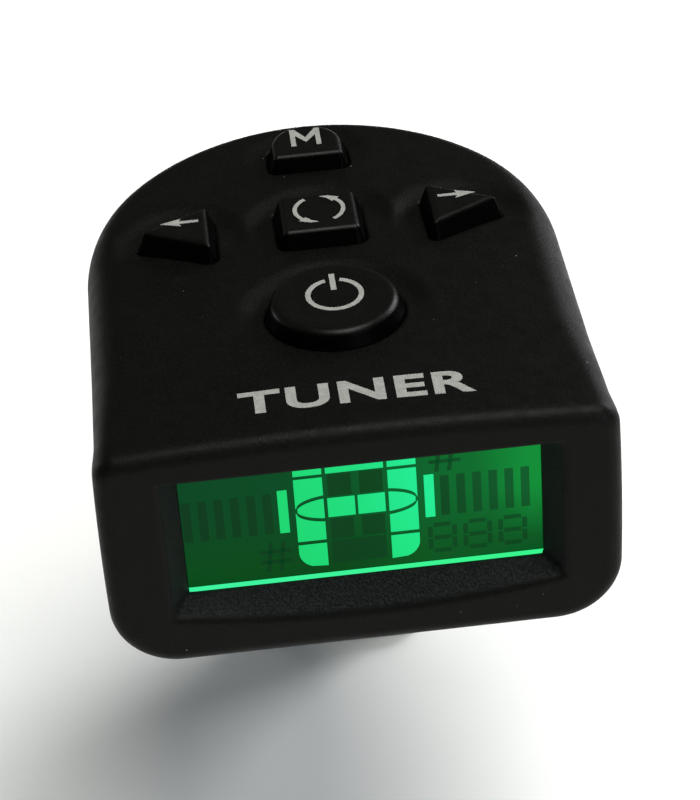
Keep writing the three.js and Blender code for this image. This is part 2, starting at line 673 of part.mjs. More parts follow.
// A short coil between the bridge wall and the lever's tail.
class Coil extends THREE.Curve {
  constructor(radius, turns, y0, y1, z) {
    super();
    Object.assign(this, { radius, turns, y0, y1, z });
  }

  getPoint(t, target = new THREE.Vector3()) {
    const angle = 2 * Math.PI * this.turns * t;
    const y = this.y0 + (this.y1 - this.y0) * t;
    return target.set(this.radius * Math.cos(angle), y, this.z + this.radius * Math.sin(angle));
  }
}

const spring = new Coil(0.5, 3, BRIDGE.back + 0.15, BRIDGE.back + 1, LEVER_PIVOT.z - 2.05);
const pinHalf = FOOT.half - 0.2;
add(root, "release_lever", releaseLever(), clampBlack);
add(root, "lever_pin", rodX(LEVER_PIVOT.y, LEVER_PIVOT.z, 0.72, -pinHalf, pinHalf, 16), steel);
add(root, "lever_spring", wire(spring, 0.1, 36, 6), steel);

export default root;
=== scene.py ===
"""The looks of a clip-on tuner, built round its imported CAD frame.

Moulded pieces are written as signed distance fields in millimetres, in the frame's own axes, and
net() turns a field into a smooth closed mesh. Printed marks and display segments are flat outlines.
"""

import functools
import math

import bpy
import numpy as np
from mathutils import Matrix, Vector


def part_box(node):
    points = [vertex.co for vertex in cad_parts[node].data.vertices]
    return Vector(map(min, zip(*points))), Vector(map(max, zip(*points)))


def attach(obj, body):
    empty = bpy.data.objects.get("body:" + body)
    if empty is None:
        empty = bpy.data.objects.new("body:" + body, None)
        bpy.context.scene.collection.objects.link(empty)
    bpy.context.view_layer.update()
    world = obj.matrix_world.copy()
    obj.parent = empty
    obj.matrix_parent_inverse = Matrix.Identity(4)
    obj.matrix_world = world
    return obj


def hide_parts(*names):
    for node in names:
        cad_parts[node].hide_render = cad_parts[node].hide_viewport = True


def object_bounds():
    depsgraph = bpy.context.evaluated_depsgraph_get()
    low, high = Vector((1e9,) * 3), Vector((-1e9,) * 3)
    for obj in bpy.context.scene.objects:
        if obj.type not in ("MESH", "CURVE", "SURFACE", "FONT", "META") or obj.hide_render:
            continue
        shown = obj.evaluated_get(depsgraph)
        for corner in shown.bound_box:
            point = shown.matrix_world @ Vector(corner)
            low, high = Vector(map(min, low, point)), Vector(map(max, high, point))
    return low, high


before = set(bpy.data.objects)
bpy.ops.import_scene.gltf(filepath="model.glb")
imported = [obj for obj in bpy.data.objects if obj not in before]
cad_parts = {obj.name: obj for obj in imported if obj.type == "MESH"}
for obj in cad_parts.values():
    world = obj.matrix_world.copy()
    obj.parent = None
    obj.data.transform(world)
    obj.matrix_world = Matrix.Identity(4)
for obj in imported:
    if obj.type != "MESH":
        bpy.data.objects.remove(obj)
cad_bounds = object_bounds()
MM = 0.001


# ---- places taken from the frame
def box_mm(node):
    """Lowest and highest corner of a CAD node, in millimetres."""
    low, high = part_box(node)
    return np.array(low) / MM, np.array(high) / MM


def middle(node):
    low, high = box_mm(node)
    return (low + high) / 2


SHELL_LOW, SHELL_HIGH = box_mm("top_shell")
HALF = (SHELL_HIGH[0] - SHELL_LOW[0]) / 2
FRONT = SHELL_LOW[1]
BASE = SHELL_LOW[2]
TOP = SHELL_HIGH[2]
CROWN = 0.5  # how far the deck falls from its middle to its sides
BULGE = 0.15  # how far the sides swell at mid height
REAR_HALF = HALF - 0.1  # the plan widens a little towards the front, and flares round the window
FRONT_FLARE = 0.25
BOTTOM_RADIUS = 3.7
FACE_RADIUS = 0.95
SEAM = 0.12  # clearances and rim radii where two mouldings meet
WALL = 1.5
CEILING = TOP - WALL
SKIRT_TOP = BASE + 1.5
COVER_LOW, COVER_HIGH = box_mm("bottom_cover")
COVER_HALF = COVER_HIGH[0]
TRAY_SLOT = (-11, BASE + 2), (11, BASE + 6.9)  # (x, z) corners of the hole for the tray

# The keys. Their outlines are measured at the height DECK.
KEY_FLANGE = 0.6  # a key's flange stands this far outside its outline
KEY_TOP = box_mm("key_power")[1][2]
KEY_GAP = 0.11  # between a key and its hole
KEY_SLOPE = 0.38  # how far a key's side leans in from the deck to its top
FLANGE_LOW = BASE + 11.9
FLANGE_HIGH = BASE + 12.6
DECK = TOP - 0.1

# The window: half widths and heights above the head's underside.
RECESS = 1.6  # from the front face to the display
OPEN_HALF = 9.85
OPEN_BOTTOM = BASE + 3.97
LIP = BASE + 12.4
SIDE_BEVEL = 1.1
WINDOW_X = 0.08  # the window's middle
SILL_ENDS = BASE + 3.28
SILL_MIDDLE = BASE + 2.28


# ---- distance fields
def length(*parts):
    return np.sqrt(sum(part * part for part in parts))


def common(*fields):
    """The solid inside all the fields, its edges sharp."""
    return functools.reduce(np.maximum, fields)


def both(a, b, radius):
    """The solid inside both a and b, its new edge rounded."""
    joined = np.minimum(np.maximum(a, b), -radius)
    return joined + length(np.maximum(a + radius, 0), np.maximum(b + radius, 0))


def either(a, b, radius):
    """The solid inside a or b, with a fillet between them."""
    joined = np.maximum(np.minimum(a, b), radius)
    return joined - length(np.maximum(radius - a, 0), np.maximum(radius - b, 0))


def without(a, b, radius=0.0):
    """Solid a with b taken away, the cut's edge rounded."""
    return both(a, -b, radius) if radius else np.maximum(a, -b)


def disc(x, y, centre_x, centre_y, radius):
    return np.hypot(x - centre_x, y - centre_y) - radius


def rectangle(x, y, low, high, radius=0.0):
    across = np.abs(x - (low[0] + high[0]) / 2) - (high[0] - low[0]) / 2 + radius
    along = np.abs(y - (low[1] + high[1]) / 2) - (high[1] - low[1]) / 2 + radius
    outside = np.hypot(np.maximum(across, 0), np.maximum(along, 0))
    return outside + np.minimum(np.maximum(across, along), 0) - radius


def slab(z, low, high):
    return np.maximum(low - z, z - high)


def polygon(x, y, points):
    """Signed distance to a closed polygon of (x, y) points."""
    best = np.full(np.broadcast(x, y).shape, 1e9)
    inside = np.zeros(best.shape, bool)
    for (ax, ay), (bx, by) in zip(points, points[1:] + points[:1]):
        ex, ey = bx - ax, by - ay
        wx, wy = x - ax, y - ay
        share = np.clip((wx * ex + wy * ey) / (ex * ex + ey * ey), 0, 1)
        best = np.minimum(best, (wx - ex * share) ** 2 + (wy - ey * share) ** 2)
        crosses = (ay <= y) != (by <= y)
        at = ax + (y - ay) * ex / (ey if ey else 1e-9)
        inside ^= crosses & (x < at)
    return np.where(inside, -np.sqrt(best), np.sqrt(best))


def smooth(t):
    t = np.clip(t, 0, 1)
    return t * t * (3 - 2 * t)


# ---- fields to meshes
def placed(name, data):
    """A new object, linked to the scene."""
    made = bpy.data.objects.new(name, data)
    bpy.context.scene.collection.objects.link(made)
    return made


def quad_mesh(name, points, quads):
    """A smooth-shaded object from arrays of points in millimetres and quads."""
    mesh = bpy.data.meshes.new(name)
    mesh.vertices.add(len(points))
    mesh.vertices.foreach_set("co", (points * MM).astype(np.float32).ravel())
    mesh.loops.add(quads.size)
    mesh.loops.foreach_set("vertex_index", quads.astype(np.int32).ravel())
    mesh.polygons.add(len(quads))
    mesh.polygons.foreach_set("loop_start", np.arange(0, quads.size, 4, dtype=np.int32))
    mesh.polygons.foreach_set("use_smooth", np.ones(len(quads), bool))
    mesh.update(calc_edges=True)
    mesh.validate()
    return placed(name, mesh)


def listed_mesh(name, points, faces, smooth_shaded=False):
    """An object from lists of points in millimetres and faces."""
    mesh = bpy.data.meshes.new(name)
    mesh.from_pydata([tuple(c * MM for c in point) for point in points], [], faces)
    mesh.polygons.foreach_set("use_smooth", [smooth_shaded] * len(mesh.polygons))
    mesh.update()
    return placed(name, mesh)


def stacked(name, stacks, smooth_shaded=False):
    """Closed solids, each a stack of equal rings of points, anticlockwise as seen from its end."""
    points, faces = [], []
    for rings in stacks:
        first, count = len(points), len(rings[0])
        points += [point for ring in rings for point in ring]
        last = len(points) - count
        faces += [list(range(first, first + count))[::-1], list(range(last, len(points)))]
        for start in range(first, last, count):
            for i in range(count):
                j = (i + 1) % count
                faces.append([start + i, start + j, start + count + j, start + count + i])
    return listed_mesh(name, points, faces, smooth_shaded)


def settle(field, points, step):
    """Moves points on to the field's zero surface, each by less than a grid step a round."""
    reach = step / 4
    longest = 0.4 * step
    for _ in range(4):
        x, y, z = points.T
        value = field(x, y, z)
        rises = [field(*(points + way).T) - field(*(points - way).T) for way in reach * np.eye(3)]
        slope = np.stack(rises, axis=1) / (2 * reach)
        steep = np.maximum((slope**2).sum(axis=1), 0.1)
        move = slope * (value / steep)[:, None]
        size = np.maximum(np.linalg.norm(move, axis=1), 1e-9)
        points = points - move * np.minimum(1, longest / size)[:, None]
    return points


def graded(low, high, fine, coarse, zones):
    """Grid points from low to high: fine steps inside the zones, coarse steps between them."""
    points = [low - 2 * coarse]
    while points[-1] < high + 2 * coarse:
        at = points[-1]
        near = any(start <= at <= end for start, end in zones)
        points.append(at + (fine if near else coarse))
    return np.array(points)


def net(name, field, low, high, step, levels=None):
    """The closed surface where field(x, y, z) is zero, as a net of quads about one step across."""
    axes = [np.arange(a - 2 * step, b + 3 * step, step) for a, b in zip(low, high)]
    if levels is not None:
        axes[2] = levels
    shape = [len(axis) for axis in axes]
    values = np.broadcast_to(field(*np.ix_(*axes)), shape).astype(np.float32)
    inside = values < 0
    # every cell that the surface passes through gets a point, at the mean of its edges' crossings
    cells = [n - 1 for n in shape]
    corners = [(i, j, k) for i in (0, 1) for j in (0, 1) for k in (0, 1)]
    count = np.zeros(cells, np.uint8)
    for i, j, k in corners:
        count += inside[i : i + cells[0], j : j + cells[1], k : k + cells[2]]
    mixed = (count > 0) & (count < 8)
    where = np.argwhere(mixed)
    index = np.full(cells, -1, np.int64)
    index[mixed] = np.arange(len(where))
    at = {c: values[tuple((where + c).T)] for c in corners}
    total = np.zeros((len(where), 3))
    crossings = np.zeros(len(where))
    for corner in corners:
        for axis in range(3):
            if corner[axis]:
                continue
            other = tuple(c + (a == axis) for a, c in enumerate(corner))
            va, vb = at[corner], at[other]
            crosses = (va < 0) != (vb < 0)
            share = np.where(crosses, va / np.where(crosses, va - vb, 1), 0)
            point = np.array(corner, float) + share[:, None] * (np.arange(3) == axis)
            total += point * crosses[:, None]
            crossings += crosses
    share = total / crossings[:, None]
    points = np.stack(
        [axis[i] + t * (axis[i + 1] - axis[i]) for axis, i, t in zip(axes, where.T, share.T)], axis=1
    )
    # every grid edge that the surface crosses gets a quad, through the points of the four cells round it
    quads = []
    for axis in range(3):
        second, third = (np.eye(3, dtype=int)[(axis + i) % 3] for i in (1, 2))
        a, b = (np.take(inside, range(i, shape[axis] - 1 + i), axis) for i in (0, 1))
        for first, pattern in ((a & ~b, 1), (~a & b, -1)):
            edge = np.argwhere(first)
            ring = [edge - second - third, edge - third, edge, edge - second]
            quad = np.stack([index[tuple(corner.T)] for corner in ring], axis=1)
            quads.append(quad[:, ::pattern])
    return quad_mesh(name, settle(field, points, step), np.concatenate(quads))


# ---- flat outlines to thin solids
def arc(cx, cy, radius, start, end, steps=24):
    """Points on an arc, its angles in degrees anticlockwise from +X."""
    angles = [math.radians(start + (end - start) * i / steps) for i in range(steps + 1)]
    return [(cx + radius * math.cos(a), cy + radius * math.sin(a)) for a in angles]


def band(cx, cy, radius, width, start, end, steps=40):
    """An open ring of the given width."""
    outer = arc(cx, cy, radius + width / 2, start, end, steps)
    inner = arc(cx, cy, radius - width / 2, end, start, steps)
    return outer + inner


def bar(x0, x1, y0, y1):
    return [(x0, y0), (x1, y0), (x1, y1), (x0, y1)]


def line(a, b, width):
    """A straight stroke from a to b."""
    dx, dy = b[0] - a[0], b[1] - a[1]
    size = math.hypot(dx, dy)
    nx, ny = -dy / size * width / 2, dx / size * width / 2
    return [(a[0] + nx, a[1] + ny), (a[0] - nx, a[1] - ny), (b[0] - nx, b[1] - ny), (b[0] + nx, b[1] + ny)]


def signed_area(outline):
    return sum(ax * by - bx * ay for (ax, ay), (bx, by) in zip(outline, outline[1:] + outline[:1])) / 2


def thin(name, outlines, place, thickness):
    """Closed thin solids from flat outlines. place(u, v, height) gives a point in millimetres."""
    stacks = []
    for outline in outlines:
        if signed_area(outline) < 0:
            outline = outline[::-1]
        stacks.append([[place(u, v, height) for u, v in outline] for height in (0, thickness)])
    return stacked(name, stacks)


# ---- materials
def shade(colour, factor):
    return tuple(c * factor for c in colour)


class Nodes:
    """A short way to write a node material."""

    def __init__(self, name):
        self.material = bpy.data.materials.new(name)
        self.material.use_nodes = True
        self.tree = self.material.node_tree
        self.shader = self.tree.nodes["Principled BSDF"]
        self.coordinates = self.add("TexCoord").outputs["Object"]

    def add(self, kind, **settings):
        node = self.tree.nodes.new("ShaderNode" + kind)
        for key, value in settings.items():
            setattr(node, key, value)
        return node

    def link(self, source, target):
        self.tree.links.new(source, target)

    def feed(self, socket, value):
        """Give a socket a number, a colour or another node's output."""
        if isinstance(value, tuple):
            socket.default_value = (*value, 1)
        elif isinstance(value, (int, float)):
            socket.default_value = value
        else:
            self.link(value, socket)

    def fill(self, node, **inputs):
        for key, value in inputs.items():
            self.feed(node.inputs[key.replace("_", " ")], value)

    def run(self, kind, *values, **settings):
        """The first output of a new node, its first inputs fed with the values."""
        node = self.add(kind, **settings)
        for socket, value in zip(node.inputs, values):
            self.feed(socket, value)
        return node.outputs[0]

    def texture(self, kind, size_mm, output, coordinates=None, **inputs):
        """A pattern that repeats, or has its features, about every size_mm."""
        node = self.add("Tex" + kind)
        inputs.update(Scale=1 / (size_mm * MM), Vector=coordinates or self.coordinates)
        self.fill(node, **inputs)
        return node.outputs[output]

    def noise(self, size_mm, detail=3.0, coordinates=None):
        return self.texture("Noise", size_mm, "Fac", coordinates, Detail=detail, Roughness=0.55)

    def patches(self, size_mm, low, high, to_low=0, to_high=1, detail=3.0):
        """Noise whose values from low to high are spread from to_low to to_high."""
        return self.fit(self.noise(size_mm, detail), low, high, to_low, to_high)

    def dots(self, size_mm, low, high, middle):
        """Scattered dots: the value middle within the distance low of their middles, 0 beyond high."""
        return self.fit(self.texture("Voronoi", size_mm, "Distance"), low, high, middle, 0)

    def axes(self, vector):
        node = self.add("SeparateXYZ")
        self.link(vector, node.inputs["Vector"])
        return list(node.outputs)

    def geometry(self, output):
        return self.add("NewGeometry").outputs[output]

    def fit(self, value, low, high, to_low=0, to_high=1):
        return self.run("MapRange", value, low, high, to_low, to_high)

    def mix(self, factor, first, second):
        node = self.add("Mix", data_type="RGBA")
        self.link(factor, node.inputs["Factor"])
        for key, colour in (("A", first), ("B", second)):
            self.feed([s for s in node.inputs if s.name == key and s.type == "RGBA"][0], colour)
        return [s for s in node.outputs if s.type == "RGBA"][0]

    def math(self, operation, *values):
        return self.run("Math", *values, operation=operation)

    def times(self, *values):
        return functools.reduce(lambda a, b: self.math("MULTIPLY", a, b), values)

    def finish(self, height, depth_mm, **values):
        """Gives the shader its values and a bump, and returns the material."""
        bump = self.add("Bump")
        bump.inputs["Distance"].default_value = depth_mm * MM
        self.link(height, bump.inputs["Height"])
        self.fill(self.shader, Normal=bump.outputs["Normal"], **values)
        return self.material


def moulded_plastic(name, colour, roughness, grain_mm=0.16, grain_depth=0.012, specular=0.5, finish=None):
    """Fine-grained moulded plastic with a slightly uneven sheen, and patches of wear on its sharp edges.

    finish(nodes, tone, grain, specular) gives the three back, changed for one moulding; for the shell and the
    keys it also paints light and shade into the tone.
    """
    nodes = Nodes(name)
    lighter = tuple(min(1, c * 1.7 + 0.001) for c in colour)
    cloudy = nodes.mix(nodes.patches(3.2, 0.35, 0.65), shade(colour, 0.72), colour)
    grain = nodes.noise(grain_mm, detail=2.0)
    grainy = nodes.mix(nodes.fit(grain, 0.4, 0.75, 0, 0.8), cloudy, lighter)
    edge = nodes.fit(nodes.geometry("Pointiness"), 0.52, 0.64)
    tone = nodes.mix(nodes.times(edge, nodes.patches(1.5, 0.35, 0.7, 0.2)), grainy, lighter)
    if finish:
        tone, grain, specular = finish(nodes, tone, grain, specular)
    sheen = nodes.patches(1.1, 0.3, 0.7, roughness - 0.06, roughness + 0.06, detail=4.0)
    return nodes.finish(grain, grain_depth, Base_Color=tone, Roughness=sheen, Specular_IOR_Level=specular)


def shell_dust_and_painted_light(nodes, tone, grain, specular):
    """A few specks of dust, painted light on the walls round the window (they are painted paler, as if lit)
    and a coarse-grained sill under it.
    """
    specks = nodes.times(nodes.dots(1.15, 0.035, 0.05, 0.6), nodes.patches(2.1, 0.5, 0.56))
    tone = nodes.mix(specks, tone, (0.2, 0.2, 0.19))
    sill_top = OPEN_BOTTOM + 0.07
    sill = window_zone(nodes, SKIRT_TOP + 0.2, sill_top)
    # painted light: the walls round the window get a paler tone, as if the lamps lit them
    lit_walls = window_zone(nodes, sill_top, LIP - 0.1)
    tone = nodes.mix(lit_walls, tone, (0.009, 0.0105, 0.010))
    coarse = nodes.noise(0.13)
    grains = nodes.mix(nodes.fit(coarse, 0.42, 0.72), (0.0014, 0.0022, 0.0021), (0.0125, 0.0150, 0.0145))
    rise = nodes.times(coarse, sill, 2.5)
    return nodes.mix(sill, tone, grains), nodes.math("ADD", grain, rise), specular


def key_painted_flank_shade(nodes, tone, grain, specular):
    """Painted shade: the faces that stand upright get a darker tone and less specular, as if in shadow."""
    upward = nodes.axes(nodes.geometry("Normal"))[2]
    # painted shade: upright flanks darkened to a quarter of the key's colour
    flank_shade = nodes.fit(nodes.math("ABSOLUTE", upward), 0.5, 0.85, 1, 0)
    shine = nodes.fit(flank_shade, 0, 1, specular, specular * 0.15)
    return nodes.mix(flank_shade, tone, shade(KEY_COLOUR, 0.25)), grain, shine


def window_zone(nodes, bottom, top):
    """1 on the faces around the window between two heights, 0 elsewhere."""
    x, y, z = nodes.axes(nodes.coordinates)
    edge = WINDOW_X + OPEN_HALF + SIDE_BEVEL
    deepest = FRONT + 3
    soft = 0.1
    shares = [
        nodes.fit(value, start * MM, end * MM, outside, 1 - outside)
        for value, start, end, outside in (
            (y, FRONT + 0.12, FRONT + 0.3, 0),
            (y, deepest, deepest + soft, 1),
            (nodes.math("ABSOLUTE", x), edge + soft, edge + 2 * soft, 1),
            (z, top - soft, top + soft, 1),
            (z, bottom - soft, bottom + soft, 0),
        )
    ]
    return nodes.times(*shares)


def rubber(name, colour):
    nodes = Nodes(name)
    pores = nodes.noise(0.09, detail=4.0)
    cloudy = nodes.mix(nodes.patches(1.8, 0.3, 0.7), colour, shade(colour, 1.5))
    sheen = nodes.fit(pores, 0.3, 0.7, 0.78, 0.95)
    return nodes.finish(pores, 0.02, Base_Color=cloudy, Roughness=sheen, Specular_IOR_Level=0.3)


def metal(name, colour, roughness, stretch):
    """Metal with fine drawn scratches along one axis, and slight tarnish."""
    nodes = Nodes(name)
    mapping = nodes.add("Mapping")
    mapping.inputs["Scale"].default_value = stretch
    nodes.link(nodes.coordinates, mapping.inputs["Vector"])
    scratches = nodes.noise(0.05, detail=5.0, coordinates=mapping.outputs["Vector"])
    tarnished = nodes.mix(nodes.patches(0.9, 0.4, 0.75), colour, shade(colour, 0.6))
    sheen = nodes.fit(scratches, 0.3, 0.7, roughness - 0.08, roughness + 0.1)
    return nodes.finish(scratches, 0.004, Base_Color=tarnished, Metallic=1.0, Roughness=sheen)


def print_ink(name, colour):
    """Screen-printed ink: a little uneven in tone, with small pinholes."""
    nodes = Nodes(name)
    uneven = nodes.mix(nodes.patches(0.35, 0.3, 0.7), shade(colour, 0.78), colour)
    pinholes = nodes.mix(nodes.patches(0.08, 0.66, 0.72), uneven, shade(colour, 0.35))
    return nodes.finish(nodes.noise(0.12), 0.006, Base_Color=pinholes, Roughness=0.55, Specular_IOR_Level=0.3)


def glowing(name, upper, lower):
    """Display light: colours at places from 0 to 1 across the window, in its upper and its lower part."""
    nodes = Nodes(name)
    x, _, z = nodes.axes(nodes.coordinates)
    across = nodes.fit(x, -OPEN_HALF * MM, OPEN_HALF * MM)
    wavy = nodes.math("ADD", across, nodes.patches(4.0, 0.3, 0.7, -0.02, 0.02, detail=1.0))
    height = nodes.fit(z, (BASE + 5.0) * MM, (BASE + 8.5) * MM)
    rows = []
    for stops in (lower, upper):
        ramp = nodes.add("ValToRGB")
        nodes.link(wavy, ramp.inputs["Fac"])
        while len(ramp.color_ramp.elements) < len(stops):
            ramp.color_ramp.elements.new(0.5)
        for element, (place, colour) in zip(ramp.color_ramp.elements, stops):
            element.position, element.color = place, (*colour, 1)
        rows.append(ramp.outputs["Color"])
    light = nodes.mix(height, *rows)
    nodes.fill(nodes.shader, Emission_Color=light, Emission_Strength=1.0, Specular_IOR_Level=0.03)
    return nodes.finish(nodes.noise(0.07), 0.002, Base_Color=(0.001, 0.002, 0.001), Roughness=0.3)


def circuit_board(name):
    """Green solder mask over a faint pattern of copper tracks and tinned dots."""
    nodes = Nodes(name)
    tracks = nodes.texture("Brick", 3, "Fac", Mortar_Size=0.06)
    green = nodes.mix(tracks, (0.01, 0.1, 0.035), (0.02, 0.2, 0.06))
    pads = nodes.dots(2.4, 0.12, 0.14, 1)
    return nodes.finish(tracks, 0.02, Base_Color=nodes.mix(pads, green, (0.55, 0.55, 0.5)), Roughness=0.4)


KEY_COLOUR = (0.0021, 0.0021, 0.0016)
SHELL = moulded_plastic(
    "shell_plastic", (0.0021, 0.0022, 0.0016), 0.48, grain_depth=0.02, specular=0.075, finish=shell_dust_and_painted_light
)
KEYS = moulded_plastic(
    "key_plastic", KEY_COLOUR, 0.34, grain_mm=0.12, grain_depth=0.006, specular=0.11, finish=key_painted_flank_shade
)
CLAMP = moulded_plastic("clamp_plastic", (0.0055, 0.0055, 0.0055), 0.46, grain_mm=0.2, specular=0.2)
PAD = rubber("pad_rubber", (0.012, 0.012, 0.012))
SEAL = rubber("seal_rubber", (0.03, 0.03, 0.034))
INK = print_ink("grey_ink", (0.3, 0.3, 0.285))
STEEL = metal("nickel_steel", (0.56, 0.57, 0.58), 0.3, (1, 1, 8))
DRAWN_STEEL = metal("drawn_steel", (0.5, 0.51, 0.53), 0.26, (6, 1, 1))
BRASS = metal("rolled_brass", (0.62, 0.43, 0.14), 0.3, (1, 9, 1))
BOARD = circuit_board("solder_mask")
CERAMIC = moulded_plastic("ceramic", (0.7, 0.66, 0.56), 0.5)
WHITE = moulded_plastic("white_plastic", (0.72, 0.72, 0.69), 0.45)
CHIP = moulded_plastic("chip_resin", (0.01, 0.01, 0.011), 0.5, grain_mm=0.05)
AMBER = moulded_plastic("ribbon_film", (0.42, 0.17, 0.03), 0.35)
RED_WIRE = moulded_plastic("red_insulation", (0.35, 0.012, 0.01), 0.4)
LCD_BACK = glowing(
    "display_back",
    [(0, (0.0012, 0.06, 0.0145)), (0.3, (0.0008, 0.068, 0.016)), (0.65, (0.001, 0.115, 0.021)),
     (0.84, (0.002, 0.15, 0.025)), (0.98, (0.0035, 0.262, 0.037))],
    [(0, (0.0006, 0.068, 0.0085)), (0.45, (0.0005, 0.06, 0.007)), (0.68, (0.0015, 0.092, 0.013)),
     (1, (0.0012, 0.09, 0.0145))],
)
LCD_GHOST = glowing(
    "display_ghost",
    [(0, (0.0025, 0.04, 0.011)), (0.5, (0.002, 0.053, 0.0105)), (0.72, (0.002, 0.062, 0.0128)),
     (1, (0.0035, 0.108, 0.024))],
    [(0, (0.0016, 0.04, 0.009)), (0.5, (0.0012, 0.05, 0.0105)), (0.7, (0.0014, 0.06, 0.0115)),
     (1, (0.0012, 0.056, 0.01))],
)
LCD_LIT = glowing(
    "display_lit",
    [(0.28, (0.011, 0.68, 0.165)), (0.5, (0.013, 0.74, 0.22)), (0.7, (0.016, 0.85, 0.3))],
    [(0.3, (0.01, 0.67, 0.165)), (0.68, (0.013, 0.79, 0.23))],
)
EDGE_STOPS = [(0, (0.05, 0.9, 0.36)), (1, (0.04, 0.92, 0.26))]
LCD_EDGE = glowing("display_edge", EDGE_STOPS, EDGE_STOPS)


def dress(piece, body, material, node=None, slot=None):
    """Gives a piece its material, its body and the CAD node it stands for."""
    piece.data.materials.clear()
    piece.data.materials.append(material)
    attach(piece, body)
    if node:
        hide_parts(node)


def mould(name, field, steps, body, material, node, slot, box=None, levels=None):
    """Nets a field and dresses it. steps are the grid's for a full run and for a quick one; only the full
    run's is used.
    """
    low, high = box or box_mm(node)
    dress(net(name, field, low, high, steps[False], levels), body, material, node, slot)


# ---- the keys' outlines, at their feet
POWER = middle("key_power")
MODE = middle("key_mode")
METRONOME_LOW, METRONOME_HIGH = box_mm("key_metronome")
ARROW_LOW, ARROW_HIGH = box_mm("key_right")
POWER_RADIUS = (box_mm("key_power")[1] - POWER)[0] - KEY_FLANGE
MODE_HALF = (box_mm("key_mode")[1] - MODE) - KEY_FLANGE
METRONOME_HALF = METRONOME_HIGH[0] - KEY_FLANGE
METRONOME_BACK = METRONOME_HIGH[1] - KEY_FLANGE - METRONOME_HALF + 0.12  # the centre of its round back
ARROW_INNER = ARROW_LOW[0] + KEY_FLANGE
ARROW_MIDDLE = (ARROW_LOW[1] + ARROW_HIGH[1]) / 2
ARROW_POINT = 11.1
ARROW_HALF = 2.75
ARROW_CORNER = 0.4


def power_outline(x, y):
    return disc(x, y, POWER[0], POWER[1], POWER_RADIUS)


def mode_outline(x, y):
    return rectangle(x, y, MODE[:2] - MODE_HALF[:2], MODE[:2] + MODE_HALF[:2], 0.6)


def metronome_outline(x, y):
    low = (-METRONOME_HALF, METRONOME_LOW[1] + KEY_FLANGE)
    front = rectangle(x, y, low, (METRONOME_HALF, METRONOME_BACK + 2), 0.5)
    return np.where(y > METRONOME_BACK, disc(x, y, 0, METRONOME_BACK, METRONOME_HALF), front)


def arrow_outline(side):
    """A triangle pointing outwards, on the side +1 or -1, with rounded corners."""
    inset = ARROW_CORNER
    half_angle = math.atan2(ARROW_HALF, ARROW_POINT - ARROW_INNER)
    tip = ARROW_POINT - inset / math.sin(half_angle)
    inner = ARROW_INNER + inset
    reach = (tip - inner) * math.tan(half_angle)
    corners = [(inner, -reach), (tip, 0), (inner, reach)]
    points = [(side * px, ARROW_MIDDLE + py) for px, py in corners]

    def outline(x, y):
        return polygon(x, y, points) - inset

    return outline


OUTLINES = {
    "power": power_outline,
    "mode": mode_outline,
    "metronome": metronome_outline,
    "left": arrow_outline(-1),
    "right": arrow_outline(1),
}
STEMS = {name: middle(f"switch_{name}")[:2] for name in OUTLINES}
# Each key sits in a shallow round dish: its centre, radius and depth.
DISHES = [
    (POWER[0], POWER[1], 5.8, 0.38),
    (MODE[0], MODE[1], 5.0, 0.38),
    (0, METRONOME_BACK - 0.2, 4.1, 0.28),
    (-8.2, ARROW_MIDDLE, 4.5, 0.38),
    (8.2, ARROW_MIDDLE, 4.5, 0.38),
]
DISH_SOFT = 1.5


# ---- the head's shell
def swell(z):
    share = (z - (BASE + TOP) / 2) / ((TOP - BASE) / 2)
    return BULGE * (1 - share * share)


def side_distance(x, y, half):
    """Distance outside the straight sides and the half-round back of the head's plan."""
    return np.where(y < 0, np.abs(x) - half, np.hypot(x, y) - half)


def outer_side(x, y, z):
    """Distance outside the casing's sides: a slight taper, a flared front frame and swelling walls."""
    flare = FRONT_FLARE * (0.38 * np.clip(y / FRONT, 0, 1) + 0.62 * smooth((-16.5 - y) / 2.5))
    return side_distance(x, y, REAR_HALF + flare) - swell(z)


def deck_height(x, y):
    """The crowned top surface with the keys' dishes, which are shallow on their front side."""
    dished = 0
    for centre_x, centre_y, radius, depth in DISHES:
        away = np.hypot(x - centre_x, y - centre_y)
        behind = 0.15 + 0.85 * smooth((y - centre_y) / 3.6 + 0.5)
        dished = np.maximum(dished, behind * depth * smooth((radius - away) / DISH_SOFT))
    return TOP - CROWN * (x / HALF) ** 2 - dished


def window(x, y, z):
    """The recess in front of the display: sloping sides, a wide arched sill and a square lip on top."""
    depth = np.clip((y - FRONT) / RECESS, -1, 1)
    side = np.abs(x - WINDOW_X) - OPEN_HALF - SIDE_BEVEL * (1 - depth)
    arch = np.minimum((x / (OPEN_HALF + SIDE_BEVEL)) ** 2, 1.3)
    sill_front = SILL_MIDDLE + (SILL_ENDS - SILL_MIDDLE) * arch
    sill = sill_front + (OPEN_BOTTOM - sill_front) * depth
    mouth = both(side * 0.88, (sill - z) * 0.8, 0.15)  # the factors undo the slopes
    return common(mouth, z - LIP, y - FRONT - RECESS - 0.4)


def casing(x, y, z):
    body = both(outer_side(x, y, z), BASE - z, BOTTOM_RADIUS)
    # the deck's edge is rounder along the middle of the sides
    top_radius = 1.3 + 0.75 * smooth((y + 17.5) / 8) * smooth((8 - y) / 9)
    body = both(body, z - deck_height(x, y), top_radius)
    body = both(body, FRONT - y, FACE_RADIUS)
    body = without(body, window(x, y, z), 0.18)
    inner = common(side_distance(x, y, HALF - WALL), FRONT + RECESS - y)
    body = without(body, both(inner, slab(z, SKIRT_TOP, CEILING), 0.5))
    recess = common(side_distance(x, y, COVER_HALF + SEAM), FRONT + 2 - y, z - SKIRT_TOP - 0.1)
    body = without(body, recess, SEAM)
    body = without(body, common(rectangle(x, z, *TRAY_SLOT, 0.3), 4 - y), SEAM)
    for outline in OUTLINES.values():
        body = without(body, common(outline(x, y) - KEY_GAP, FLANGE_HIGH - z), SEAM)
    return body


